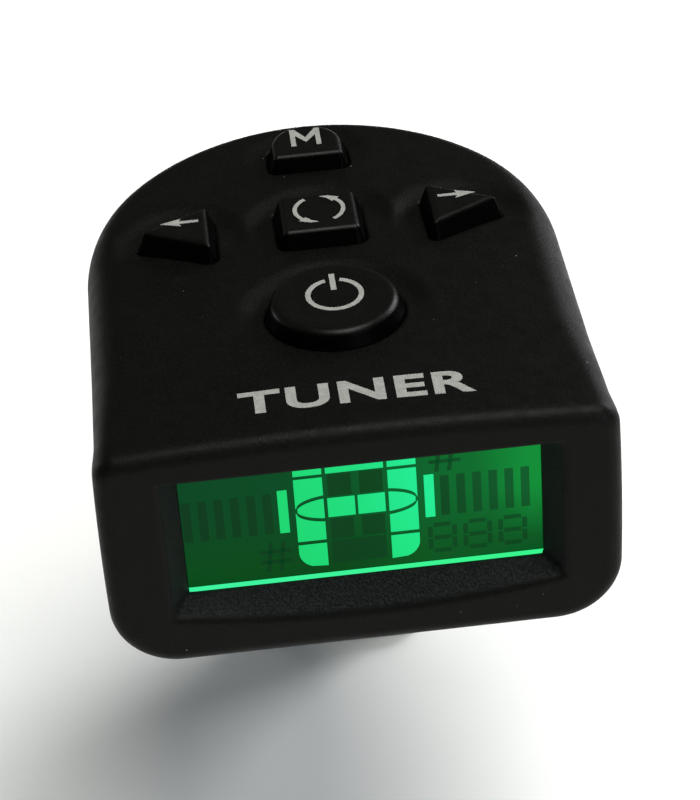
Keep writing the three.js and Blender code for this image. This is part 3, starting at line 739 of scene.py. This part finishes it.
def cover(x, y, z):
    plan = both(side_distance(x, y, COVER_HALF), COVER_LOW[1] - y, 0.5)
    plate = both(plan, slab(z, BASE, BASE + 1.3), SEAM)
    hub = both(disc(x, y, 0, 0, 4), slab(z, COVER_LOW[2], BASE + 1), 0.2)
    made = either(plate, hub, 0.15)
    made = without(made, common(disc(x, y, 0, 0, 7.8), BASE + 0.7 - z))
    made = without(made, common(disc(x, y, 0, 0, 0.8), z - BASE - 0.5))
    half = 3  # of the rear tongue that hooks into the casing
    hook = slab(y, COVER_HALF - 0.5, COVER_HALF + 1.5)
    tongue = common(np.abs(x) - half, hook, slab(z, SKIRT_TOP + 0.06, BASE + 2))
    root = common(np.abs(x) - half, slab(y, 8, COVER_HALF - 0.3), slab(z, BASE + 1, BASE + 2))
    made = np.minimum(made, np.minimum(tongue, root))
    for side in ("left", "right"):
        at = middle(f"cover_screw_{side}")
        made = without(made, disc(x, y, at[0], at[1], 0.9))
        made = without(made, common(disc(x, y, at[0], at[1], 1.55), z - BASE - 0.8), 0.1)
    # shallow ribs across the front half give the fingers a hold while the case is opened
    ribs = np.abs((y + 12.2 + 0.45) % 0.9 - 0.45) - 0.16
    field = common(rectangle(x, y, (-4.5, -15.8), (4.5, -11.1), 0.8), ribs, z - BASE - 0.22)
    return without(made, field, 0.08)


def key_dip(name, foot):
    """How far a key's top is sunk, at a signed distance from its outline."""
    sunk = 0.07 if name == "power" else 0.04
    return sunk * smooth((-foot - 0.8) / 1.6)


def key_cap(name):
    """A key with sloping sides and soft top edges, its flange and its stem."""
    outline = OUTLINES[name]
    stem_bottom = box_mm(f"key_{name}")[0][2]
    edge = 0.36 if name == "power" else 0.27

    def field(x, y, z):
        foot = outline(x, y)
        slope = KEY_SLOPE * np.clip((z - DECK) / (KEY_TOP - DECK), -0.3, 1)
        cap = both(foot + slope, slab(z, FLANGE_LOW, KEY_TOP - key_dip(name, foot)), edge)
        flange = both(foot - KEY_FLANGE, slab(z, FLANGE_LOW, FLANGE_HIGH), SEAM)
        stem = both(disc(x, y, *STEMS[name], 0.9), slab(z, stem_bottom, FLANGE_HIGH), 0.1)
        return np.minimum(np.minimum(cap, flange), stem)

    return field


def build_head():
    box = SHELL_LOW - [0.3, 0, 0], SHELL_HIGH + [0.3, 0.3, 0]
    steps = 0.17, 0.3
    step = steps[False]
    # level by level the grid is finer round the cover's seam, the sill and the deck
    levels = graded(BASE, TOP, 0.8 * step, 2 * step, [(BASE - 1, BASE + 4.4), (BASE + 12, TOP + 1)])
    mould("casing", casing, steps, "head", SHELL, "top_shell", "shell", box, levels)
    mould("cover_plate", cover, (0.13, 0.2), "head", SHELL, "bottom_cover", "shell")
    for name in OUTLINES:
        mould(f"cap_{name}", key_cap(name), (0.075, 0.14), f"{name}_key", KEYS, f"key_{name}", "keys")


# ---- printed marks
MARK_SINK = 0.012  # how far a mark's underside lies in its surface
MARK_THICK = 0.03


def on_key(name):
    """A place on a key's top, following its shallow dip."""

    def place(x, y, height):
        dip = float(key_dip(name, OUTLINES[name](np.array(x), np.array(y))))
        return x, y, KEY_TOP - dip + height - MARK_SINK

    return place


def on_deck(x, y, height):
    return x, y, float(deck_height(x, y)) + height - MARK_SINK


def power_mark():
    """A ring, open at the back, with a stroke through the gap."""
    x, y = POWER[0] + 0.06, POWER[1] + 0.34
    gap = 16
    return [band(x, y, 1.51, 0.3, 90 + gap, 450 - gap, 64), bar(x - 0.16, x + 0.16, y + 0.46, y + 2.06)]


def mode_mark():
    """Two round arrows chasing each other."""
    x, y = MODE[0] + 0.04, MODE[1] + 0.2
    radius = 1.43
    head = [(0.3, 222), (0.12, 246), (0, 265), (-0.16, 244), (-0.28, 222)]  # places off the ring, and angles
    marks = []
    for turn in (0, 180):
        marks.append(band(x, y, radius, 0.25, 122 + turn, 224 + turn, 30))
        marks.append([arc(x, y, radius + off, angle + turn, angle + turn, 1)[0] for off, angle in head])
    return marks


def metronome_mark():
    """A plain letter M of four strokes."""
    half, low, high = 0.92, METRONOME_BACK - 0.5, METRONOME_BACK + 1.5
    inner = half - 0.3
    return [
        [
            (-half, low), (-inner, low), (-inner, high - 0.75), (0, low + 0.45),
            (inner, high - 0.75), (inner, low), (half, low), (half, high),
            (inner, high), (0, low + 1.0), (-inner, high), (-half, high),
        ]
    ]


def arrow_mark(side):
    inner, tip, y = 7.08, 9.32, ARROW_MIDDLE + 0.58
    points = [
        (inner, y - 0.12), (tip - 1.1, y - 0.14), (tip - 1.22, y - 0.42), (tip, y),
        (tip - 1.22, y + 0.42), (tip - 1.1, y + 0.14), (inner, y + 0.12),
    ]
    return [[(side * px, py) for px, py in points]]


def wordmark():
    """The plain word TUNER across the deck's front, in the default font."""
    curve = bpy.data.curves.new("wordmark", "FONT")
    curve.body = "TUNER"
    curve.extrude = 0.01
    curve.offset = 0.03
    curve.space_character = 1.12
    text = placed("wordmark_text", curve)
    bpy.context.view_layer.update()
    made = bpy.data.meshes.new_from_object(text.evaluated_get(bpy.context.evaluated_depsgraph_get()))
    bpy.data.objects.remove(text)
    points = np.array([v.co for v in made.vertices])
    low, high = points.min(0), points.max(0)
    size = [12.8, 2.1]
    centre = np.array([0.35, FRONT + 3.65])
    flat = (points[:, :2] - (low + high)[:2] / 2) / (high - low)[:2] * size + centre
    level = (points[:, 2] - low[2]) / (high[2] - low[2])
    for vertex, (x, y), up in zip(made.vertices, flat, level):
        vertex.co = [c * MM for c in on_deck(x, y, MARK_THICK * up)]
    made.update()
    return placed("wordmark", made)


def build_marks():
    marks = {
        "power": power_mark(),
        "mode": mode_mark(),
        "metronome": metronome_mark(),
        "left": arrow_mark(-1),
        "right": arrow_mark(1),
    }
    for name, outlines in marks.items():
        dress(thin(f"mark_{name}", outlines, on_key(name), MARK_THICK), f"{name}_key", INK)
    dress(wordmark(), "head", INK)


# ---- the display
# Heights here are above the head's underside, and places across are from its middle.
GLASS_LOW, GLASS_HIGH = box_mm("lcd_front_glass")
NOTE_X = -0.2  # the middle of the note letter
COLUMN = (1.78, 3.35)  # a column's inner and outer edge, from the letter's middle
COLUMN_LOW, COLUMN_HIGH = 6.43, 10.66  # of the two parts that meet the eye
FOOT_LOW_Z, FOOT_HIGH_Z = 4.62, 6.19
TOP_LOW = 10.88
CROSS_Z = 8.55  # the middle of the eye, an almond shape across each column
EYE_TIP = 3.34
EYE_RISE = 0.78  # half the eye's height where it crosses a column's inner edge


def on_glass(offset):
    """A place in front of the glass, by its distance across and its height."""

    def place(u, v, height):
        return u, GLASS_LOW[1] - offset - height, BASE + v

    return place


def mirrored(outlines):
    """The outlines, given on the right of the note letter's middle, on both sides of it."""
    right = [[(NOTE_X + u, v) for u, v in outline] for outline in outlines]
    left = [[(NOTE_X - u, v) for u, v in outline] for outline in outlines]
    return right + left


def eye_edge(u):
    """Half the eye's height, at a distance u from the middle."""
    share = min(max((EYE_TIP - u) / (EYE_TIP - COLUMN[0]), 0), 1)
    return EYE_RISE * math.sqrt(share) * (1.28 - 0.28 * share)


def eye_curve(up, first, last, gap, steps=12):
    """The eye's upper or lower edge from first to last, moved outwards by a gap."""
    points = []
    for i in range(steps + 1):
        u = first + (last - first) * i / steps
        points.append((u, CROSS_Z + up * max(eye_edge(u) + gap, 0)))
    return points


def lit_segments():
    """The lit note letter: two columns and a cross bar, parted by fine gaps, and a bar on each side."""
    inner, outer = COLUMN
    gap = 0.12
    top = bar(inner, outer, TOP_LOW, 11.75)
    upper = [(inner, COLUMN_HIGH)] + eye_curve(1, inner, outer, gap) + [(outer, COLUMN_HIGH)]
    lower = [(inner, COLUMN_LOW)] + eye_curve(-1, inner, outer, gap) + [(outer, COLUMN_LOW)]
    eye = eye_curve(1, inner, EYE_TIP - 0.1, -gap) + eye_curve(-1, EYE_TIP - 0.1, inner, -gap)
    radius = 1.05
    round_corner = arc(outer - radius, FOOT_LOW_Z + radius, radius, -70, 0, 10)
    foot = [(inner, FOOT_LOW_Z)] + round_corner + [(outer, FOOT_HIGH_Z), (inner, FOOT_HIGH_Z)]
    segments = mirrored([top, upper, lower, eye, foot, bar(0.08, 1.58, 7.92, 9.2)])
    segments += mirrored([bar(3.74, 4.28, 7.18, 10.06)])
    segments.append(bar(NOTE_X - 1.58, NOTE_X + 1.58, TOP_LOW, 11.7))
    return segments


def ghost_segments():
    """Segments that are off: scale ticks, sharp signs, three digits and the blocks of other letters."""
    segments = []
    for i in range(6):
        u = 4.62 + 0.885 * i
        segments += mirrored([bar(u, u + 0.48, 7.2, 9.9)])
    for left, low in ((-5.7, 4.6), (3.85, 10.2)):
        for k in (0.4, 1.1):
            segments.append(line((left + k, low), (left + k + 0.25, low + 2), 0.24))
            segments.append(bar(left, left + 1.75, low + k + 0.15, low + k + 0.38))
    for digit in range(3):
        segments += digit_bars(3.75 + 1.95 * digit, 4.8, 1.34, 1.78)
    for left, right in ((-1.5, -0.22), (0.22, 1.5)):
        for low, high in ((9.32, 10.78), (6.4, 7.76)):
            segments.append(bar(NOTE_X + left, NOTE_X + right, low, high))
    segments.append(bar(NOTE_X - 1.5, NOTE_X + 1.5, 4.72, 6.28))
    return segments


def digit_bars(left, low, width, height):
    """The seven bars of one digit."""
    thick, gap = 0.27, 0.06
    right, high, mid = left + width, low + height, low + height / 2
    ends = left + thick / 2 + gap, right - thick / 2 - gap
    bars = [bar(*ends, z - thick / 2, z + thick / 2) for z in (low, mid, high)]
    for x in (left, right):
        bars.append(bar(x - thick / 2, x + thick / 2, low + 2 * gap, mid - gap))
        bars.append(bar(x - thick / 2, x + thick / 2, mid + gap, high - 2 * gap))
    return bars


def glass(x, y, z):
    flat = rectangle(x, z, (GLASS_LOW[0], GLASS_LOW[2]), (GLASS_HIGH[0], GLASS_HIGH[2]), 0.1)
    return both(flat, slab(y, GLASS_LOW[1], GLASS_HIGH[1]), 0.06)


def build_display():
    mould("display_panel", glass, (0.12, 0.12), "head", LCD_BACK, "lcd_front_glass", "display")
    light_edge = [bar(-OPEN_HALF - 0.5, OPEN_HALF + 0.5, 3.55, 4.12)]
    for name, outlines, offset, thickness, material, slot in (
        ("display_ghosts", ghost_segments(), 0.005, 0.012, LCD_GHOST, "display"),
        ("display_note", lit_segments(), 0.005, 0.02, LCD_LIT, "display"),
        ("display_edge", light_edge, 0.03, 0.05, LCD_EDGE, "light_guide"),
    ):
        dress(thin(name, outlines, on_glass(offset), thickness), "head", material, slot=slot)


# ---- battery tray and cell
TRAY_LOW, TRAY_HIGH = box_mm("battery_tray")
CELL_LOW, CELL_HIGH = box_mm("coin_cell")


def tray(x, y, z):
    half = TRAY_HIGH[0]
    plan = np.where(y < 0, np.hypot(x, y) - half, np.abs(x) - half)
    plan = common(plan, outer_side(x, y, z) + 0.02)
    body = both(plan, slab(z, TRAY_LOW[2], TRAY_HIGH[2]), 0.15)
    floor, ledge = BASE + 2.9, BASE + 5.6  # the floor the cell lies on, and the ledge over its rim
    body = without(body, common(disc(x, y, 0, 0, 10.15), floor - z), 0.1)
    body = without(body, common(disc(x, y, 0, 0, 12.6), ledge - z), 0.1)
    body = without(body, common(np.abs(x) - 2.4, y + 9, floor - z), 0.1)
    # a scooped nail slot in the outer face
    scoop = length(np.maximum(np.abs(x) - 4, 0), (y - HALF - 0.55) * 0.8, z - BASE - 4.35) - 1.0
    return without(body, scoop, 0.15)


def cell(x, y, z):
    """A can, with a rolled seam round its cap."""
    away = np.hypot(x, y)
    shoulder = CELL_HIGH[2] - 0.35
    can = both(away - 10, slab(z, CELL_LOW[2], shoulder), 0.28)
    can = without(can, length(away - 8.72, z - CELL_HIGH[2] + 0.35) - 0.16, 0.03)
    cap = both(away - 8.6, slab(z, CELL_LOW[2] + 1, CELL_HIGH[2]), 0.2)
    return np.minimum(can, cap)


# ---- the clamp
FRAME_LOW, FRAME_HIGH = box_mm("clamp_frame")
FOOT_LOW, FOOT_HIGH = box_mm("sliding_foot")
PIN = middle("lever_pin")
BAR_HALF = 4.5
BAR_FRONT = 15.5
BAR_BACK = FRAME_HIGH[1]
BAR_MIDDLE = (BAR_FRONT + BAR_BACK) / 2
PLATE_TOP = FRAME_HIGH[2]
PLATE_RADIUS = FRAME_HIGH[0]
PLATE_BOTTOM = box_mm("upper_pad")[1][2] + 0.05
TOOTH_PITCH, TOOTH_DEPTH, TOOTH_TOP, TOOTH_COUNT = 1.2, 0.6, -1.4, 15
TOOTH_ROOT = BAR_BACK - TOOTH_DEPTH - 0.1
TOOTH_HALF = 2.8  # of the teeth's width


def rack(y, z):
    """Solid side of the toothed face: level upper faces, sloping undersides."""
    down = (TOOTH_TOP - z) % TOOTH_PITCH
    lean = math.cos(math.atan2(TOOTH_DEPTH, TOOTH_PITCH))
    slope = (y - TOOTH_ROOT - TOOTH_DEPTH * (1 - down / TOOTH_PITCH)) * lean
    to_face = np.where(y < TOOTH_ROOT + TOOTH_DEPTH, TOOTH_PITCH - down, 9)
    above = np.minimum(slope, to_face)
    below = -np.minimum(-slope, np.hypot(down, np.maximum(TOOTH_ROOT - y, 0)))
    return np.where(slope > 0, above, below)


def clamp_frame(x, y, z):
    """The upper jaw's plate and arm, and the toothed bar that stands down from it."""
    plan = either(disc(x, y, 0, 0, PLATE_RADIUS), rectangle(x, y, (-5.5, 0), (5.5, BAR_BACK), 1.2), 1.2)
    made = both(plan, slab(z, PLATE_BOTTOM, PLATE_TOP), 0.5)
    post = rectangle(x, y, (-BAR_HALF, BAR_FRONT), (BAR_HALF, BAR_BACK), 0.6)
    post = both(post, slab(z, FRAME_LOW[2], PLATE_TOP - 0.8), 0.1)
    made = common(either(made, post, 0.7), y - BAR_BACK)
    low = TOOTH_TOP - TOOTH_COUNT * TOOTH_PITCH
    channel = common(np.abs(x) - TOOTH_HALF, slab(z, low, TOOTH_TOP), -rack(y, z))
    made = without(made, channel, 0.05)
    made = without(made, disc(x, y, 0, 0, 4.1))
    made = without(made, common(disc(x, y, 0, 0, 5.9), z - 2.35))
    return without(made, common(disc(x, y, 0, BAR_MIDDLE, 0.7), z - FRAME_LOW[2] - 5))


def sliding_foot(x, y, z):
    """The lower jaw: a pad's plate, an arm and a carriage round the bar."""
    pad_low, pad_high = box_mm("lower_pad")
    pad_y = (pad_low[1] + pad_high[1]) / 2
    arm_top = pad_low[2] - 0.05
    radius = 6.8
    taper = radius - (y - pad_y) / 11.4
    plan = np.where(y < pad_y, disc(x, y, 0, pad_y, radius), np.abs(x) - taper)
    plan = common(plan, y - 14.5)
    arm = both(plan, slab(z, arm_top - 2.7, arm_top), 0.55)
    half = FOOT_HIGH[0]
    carriage_plan = rectangle(x, y, (-half, 13), (half, FOOT_HIGH[1]), 1.2)
    carriage = both(carriage_plan, slab(z, FOOT_LOW[2], FOOT_HIGH[2]), 0.6)
    made = either(arm, carriage, 0.9)
    # three shallow finger grooves on each cheek
    groove = np.abs((z - FOOT_LOW[2] - 1.6 + 0.7) % 1.4 - 0.7) - 0.28
    cheek = common(slab(z, FOOT_LOW[2] + 1, FOOT_HIGH[2] - 2.6), slab(y, 14.4, 19.2), half - 0.3 - np.abs(x))
    made = without(made, common(groove, cheek), 0.1)
    gap = 0.2
    tunnel = rectangle(x, y, (-BAR_HALF - gap, BAR_FRONT - gap), (BAR_HALF + gap, BAR_BACK + gap), 0.5)
    made = without(made, tunnel, 0.15)
    # the lever's mouth on to the bar, and the bay it lies in
    lever_half = 2.95
    mouth = common(np.abs(x) - lever_half, BAR_BACK + 0.1 - y, FOOT_HIGH[2] - 5.6 - z)
    made = without(made, mouth, 0.1)
    made = without(made, common(np.abs(x) - lever_half, 19.95 - y), 0.1)
    return without(made, disc(y, z, PIN[1], PIN[2], 0.85), 0.06)


def lever(x, y, z):
    """A bent lever on the pin, with two teeth inwards and a ridged tail."""
    arms = [
        (19.5, 1.2), (20.2, -0.6), (21.8, -1.4), (21.8, -7.4),
        (23.2, -7.6), (23.0, 0.4), (21.6, 3.9), (19.5, 3.9),
    ]
    side = polygon(y, z, [(py, PIN[2] + pz) for py, pz in arms])
    side = np.minimum(side, disc(y, z, PIN[1], PIN[2], 1.3))
    body = both(side, np.abs(x) - 2.7, 0.25)
    gap = 0.12  # a tooth is this much smaller than its notch in the bar
    for i in (4, 5):
        face = TOOTH_TOP - i * TOOTH_PITCH + gap
        top = face + 0.84
        tooth = [(TOOTH_ROOT + 0.19, face), (21.0, face), (21.0, top), (TOOTH_ROOT + TOOTH_DEPTH + gap, top)]
        body = np.minimum(body, common(polygon(y, z, tooth), np.abs(x) - 2.5))
    ridge = np.hypot(y - 23.55, (z - PIN[2] + 1.8) % 0.8 - 0.4) - 0.52
    body = without(body, common(ridge, slab(z, PIN[2] - 6.8, PIN[2] - 1.6)), 0.08)
    return without(body, disc(y, z, PIN[1], PIN[2], 0.8), 0.05)


def grip_pad(node, upward):
    """A rubber pad with a raised rim and concentric rings on its gripping face."""
    low, high = box_mm(node)
    face = high[2] if upward else low[2]
    centre_y = (low[1] + high[1]) / 2
    radius = high[0]

    def field(x, y, z):
        away = np.hypot(x, y - centre_y)
        body = both(away - radius, slab(z, low[2], high[2]), 0.2)
        groove = np.abs((away + 0.55) % 1.5 - 0.75) - 0.2
        depth = (face - z if upward else z - face) - 0.16
        rings = common(groove, away - radius + 0.9, depth, 1.0 - away)
        return without(body, rings, 0.07)

    return field


def end_cap(x, y, z):
    low, high = box_mm("bar_end_cap")
    plan = rectangle(x, y, low[:2], high[:2], 0.7)
    made = both(plan, slab(z, low[2], high[2]), 0.25)
    made = without(made, disc(x, y, 0, BAR_MIDDLE, 0.8))
    return without(made, common(disc(x, y, 0, BAR_MIDDLE, 1.5), z - high[2] + 0.45), 0.08)


def screw(node, head_radius, head_height, shank_radius):
    """A pan-head screw standing head down, with a cross recess."""
    low, high = box_mm(node)
    centre_x, centre_y = middle(node)[:2]
    pitch, thread_depth = 0.5, 0.07
    arm = head_radius * 0.62
    width = 0.15

    def field(x, y, z):
        away = np.hypot(x - centre_x, y - centre_y)
        head = both(away - head_radius, slab(z, low[2], low[2] + head_height), head_height * 0.45)
        turn = np.arctan2(y - centre_y, x - centre_x)
        thread = thread_depth * np.cos((z - low[2]) * 2 * np.pi / pitch + turn)
        side = away - shank_radius + thread_depth + thread
        shank = both(side, slab(z, low[2] + head_height / 2, high[2]), 0.1)
        made = np.minimum(head, shank)
        cross = np.minimum(
            rectangle(x - centre_x, y - centre_y, (-arm, -width), (arm, width), 0.05),
            rectangle(x - centre_x, y - centre_y, (-width, -arm), (width, arm), 0.05),
        )
        return without(made, common(cross, z - low[2] - head_height * 0.7), 0.04)

    return field


def pin(x, y, z):
    half = box_mm("lever_pin")[1][0]
    return both(disc(y, z, PIN[1], PIN[2], 0.74), np.abs(x) - half, 0.15)


def build_clamp():
    mould("clamp_body", clamp_frame, (0.12, 0.24), "clamp", CLAMP, "clamp_frame", "clamp")
    mould("foot_body", sliding_foot, (0.12, 0.24), "foot", CLAMP, "sliding_foot", "clamp")
    mould("end_cap_body", end_cap, (0.12, 0.12), "clamp", CLAMP, "bar_end_cap", "clamp")
    mould("pad_upper", grip_pad("upper_pad", False), (0.1, 0.2), "clamp", PAD, "upper_pad", "pad")
    mould("pad_lower", grip_pad("lower_pad", True), (0.1, 0.2), "foot", PAD, "lower_pad", "pad")
    mould("pin_body", pin, (0.09, 0.09), "foot", DRAWN_STEEL, "lever_pin", "steel")
    low, high = box_mm("release_lever")
    box = low, high + [0, 0.3, 0]
    mould("lever_body", lever, (0.09, 0.18), "lever", CLAMP, "release_lever", "clamp", box)
    for node, body, head_radius, head_height, shank in (
        ("cover_screw_left", "head", 1.35, 0.65, 0.65),
        ("cover_screw_right", "head", 1.35, 0.65, 0.65),
        ("bar_end_screw", "clamp", 1.35, 0.5, 0.6),
        ("swivel_screw", "head", 1.5, 0.4, 0.7),
    ):
        field = screw(node, head_radius, head_height, shank)
        mould(f"{node}_body", field, (0.08, 0.08), body, STEEL, node, "steel")
    build_spring()


def build_spring():
    """The lever's coil as one closed wire of round section."""
    low, high = box_mm("lever_spring")
    wire, sides, steps, turns = 0.1, 10, 120, 3
    radius = (high[0] - low[0]) / 2 - wire
    centre_z = (low[2] + high[2]) / 2
    start, end = low[1] + wire, high[1] - wire
    rings = []
    for i in range(steps + 1):
        angle = 2 * math.pi * turns * i / steps
        out = Vector((math.cos(angle), 0, math.sin(angle)))
        centre = out * radius + Vector((0, start + (end - start) * i / steps, centre_z))
        circle = arc(0, 0, wire, 0, 360 - 360 / sides, sides - 1)
        rings.append([centre + out * u + Vector((0, v, 0)) for u, v in circle])
    coil = stacked("spring_wire", [rings], smooth_shaded=True)
    dress(coil, "foot", DRAWN_STEEL, "lever_spring", "steel")


def build_power():
    tray_box = TRAY_LOW, TRAY_HIGH + [0, 0.3, 0]
    mould("tray_body", tray, (0.13, 0.26), "tray", SHELL, "battery_tray", "shell", tray_box)
    mould("cell_body", cell, (0.12, 0.2), "tray", STEEL, "coin_cell", "steel")


# ---- CAD nodes that keep their own shape
KEPT = (
    (SEAL, "keypad_seal"),
    (LCD_BACK, "lcd_rear_glass"),
    (LCD_EDGE, "light_guide"),
    (WHITE, "backlight_frame backlight_led"),
    (AMBER, "display_ribbon"),
    (BOARD, "main_board"),
    (CHIP, "controller_chip piezo_wire_ground"),
    (RED_WIRE, "piezo_wire_signal"),
    (BRASS, "piezo_disc"),
    (CERAMIC, "piezo_ceramic"),
    (STEEL, "crystal contact_negative contact_positive board_screw_left board_screw_right"),
    (STEEL, "swivel_retainer friction_washer"),
    (STEEL, " ".join(f"switch_{name}" for name in OUTLINES)),
)


def dress_kept_nodes():
    for material, names in KEPT:
        for name in names.split():
            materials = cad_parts[name].data.materials
            materials.clear()
            materials.append(material)


# ---- floor, light and camera
PALE = 0.9  # the backdrop's brightness


def build_floor():
    half = 6000.0
    level = cad_bounds[0][2] / MM - 0.4
    corners = [(-half, -half, level), (half, -half, level), (half, half, level), (-half, half, level)]
    floor = listed_mesh("floor", corners, [(0, 1, 2, 3)])
    nodes = Nodes("pale_floor")
    soft = nodes.noise(12.0, detail=4.0)
    tone = nodes.mix(soft, (0.9, 0.9, 0.9), (0.94, 0.94, 0.94))
    floor.data.materials.append(nodes.finish(nodes.noise(0.8), 0.01, Base_Color=tone, Roughness=0.7))
    # it stays pale far from the lights, and is clear from below so that the underside can be looked at
    away = nodes.add("VectorMath", operation="LENGTH")
    nodes.link(nodes.coordinates, away.inputs[0])
    far = nodes.fit(away.outputs["Value"], 0.12, 0.5)
    seen = nodes.add("LightPath").outputs["Is Camera Ray"]
    backdrop = nodes.run("Emission", (PALE, PALE, PALE))
    clear = nodes.run("BsdfTransparent")
    surface = nodes.shader.outputs["BSDF"]
    for factor, other in ((nodes.times(far, seen), backdrop), (nodes.geometry("Backfacing"), clear)):
        surface = nodes.run("MixShader", factor, surface, other)
    nodes.link(surface, nodes.tree.nodes["Material Output"].inputs["Surface"])


def soft_light(name, place, size, power, colour=(1, 1, 1)):
    """A round lamp aimed at the head."""
    lamp = bpy.data.lights.new(name, "AREA")
    lamp.shape = "DISK"
    lamp.size = size
    lamp.energy = power
    lamp.color = colour
    made = placed(name, lamp)
    made.location = place
    made.rotation_mode = "QUATERNION"
    made.rotation_quaternion = (Vector((0, 0, 0.01)) - Vector(place)).to_track_quat("-Z", "Y")


def build_light():
    world = bpy.data.worlds.new("studio")
    world.use_nodes = True
    tree = world.node_tree
    background = tree.nodes["Background"]
    background.inputs["Color"].default_value = (1, 1, 1, 1)
    # the backdrop is pale to the eye, but adds little light
    seen = tree.nodes.new("ShaderNodeLightPath").outputs["Is Camera Ray"]
    strength = tree.nodes.new("ShaderNodeMapRange")
    strength.inputs["To Min"].default_value = 0.1
    strength.inputs["To Max"].default_value = PALE
    tree.links.new(seen, strength.inputs["Value"])
    tree.links.new(strength.outputs["Result"], background.inputs["Strength"])
    bpy.context.scene.world = world
    soft_light("key_light", (0.12, -0.12, 0.55), 0.36, 3.4, (1, 1, 0.94))
    soft_light("front_light", (0.3, -0.42, 0.2), 0.3, 0.85, (0.86, 0.98, 1))
    soft_light("right_light", (0.4, 0.28, 0.2), 0.26, 1.8, (0.97, 0.99, 1.0))
    soft_light("left_light", (-0.45, 0.3, 0.08), 0.12, 0.4)
    bpy.context.scene.view_settings.view_transform = "Standard"


def build_camera():
    """The photograph's viewpoint: 35 degrees up, a little left of the display and slightly rolled."""
    lens = bpy.data.cameras.new("camera")
    lens.sensor_width = 36
    lens.lens = 128.0
    lens.clip_start, lens.clip_end = 0.005, 10
    camera = placed("camera", lens)
    azimuth, elevation, roll = (math.radians(a) for a in (-3.455, 34.948, 4.182))
    distance = 0.1661
    level = math.cos(elevation)
    back = Vector((math.sin(azimuth) * level, -math.cos(azimuth) * level, math.sin(elevation)))
    head_middle = Vector(tuple((SHELL_LOW + SHELL_HIGH) / 2)) * MM
    target = head_middle + Vector((0.6, -3.0, -0.44)) * MM
    right = Vector((0, 0, 1)).cross(back).normalized()
    up = back.cross(right)
    rolled_right = right * math.cos(roll) - up * math.sin(roll)
    rolled_up = right * math.sin(roll) + up * math.cos(roll)
    turn = Matrix((rolled_right, rolled_up, back)).transposed()
    camera.matrix_world = Matrix.Translation(target + back * distance) @ turn.to_4x4()
    bpy.context.scene.camera = camera


build_head()
build_marks()
build_display()
build_power()
build_clamp()
dress_kept_nodes()
build_floor()
build_light()
build_camera()
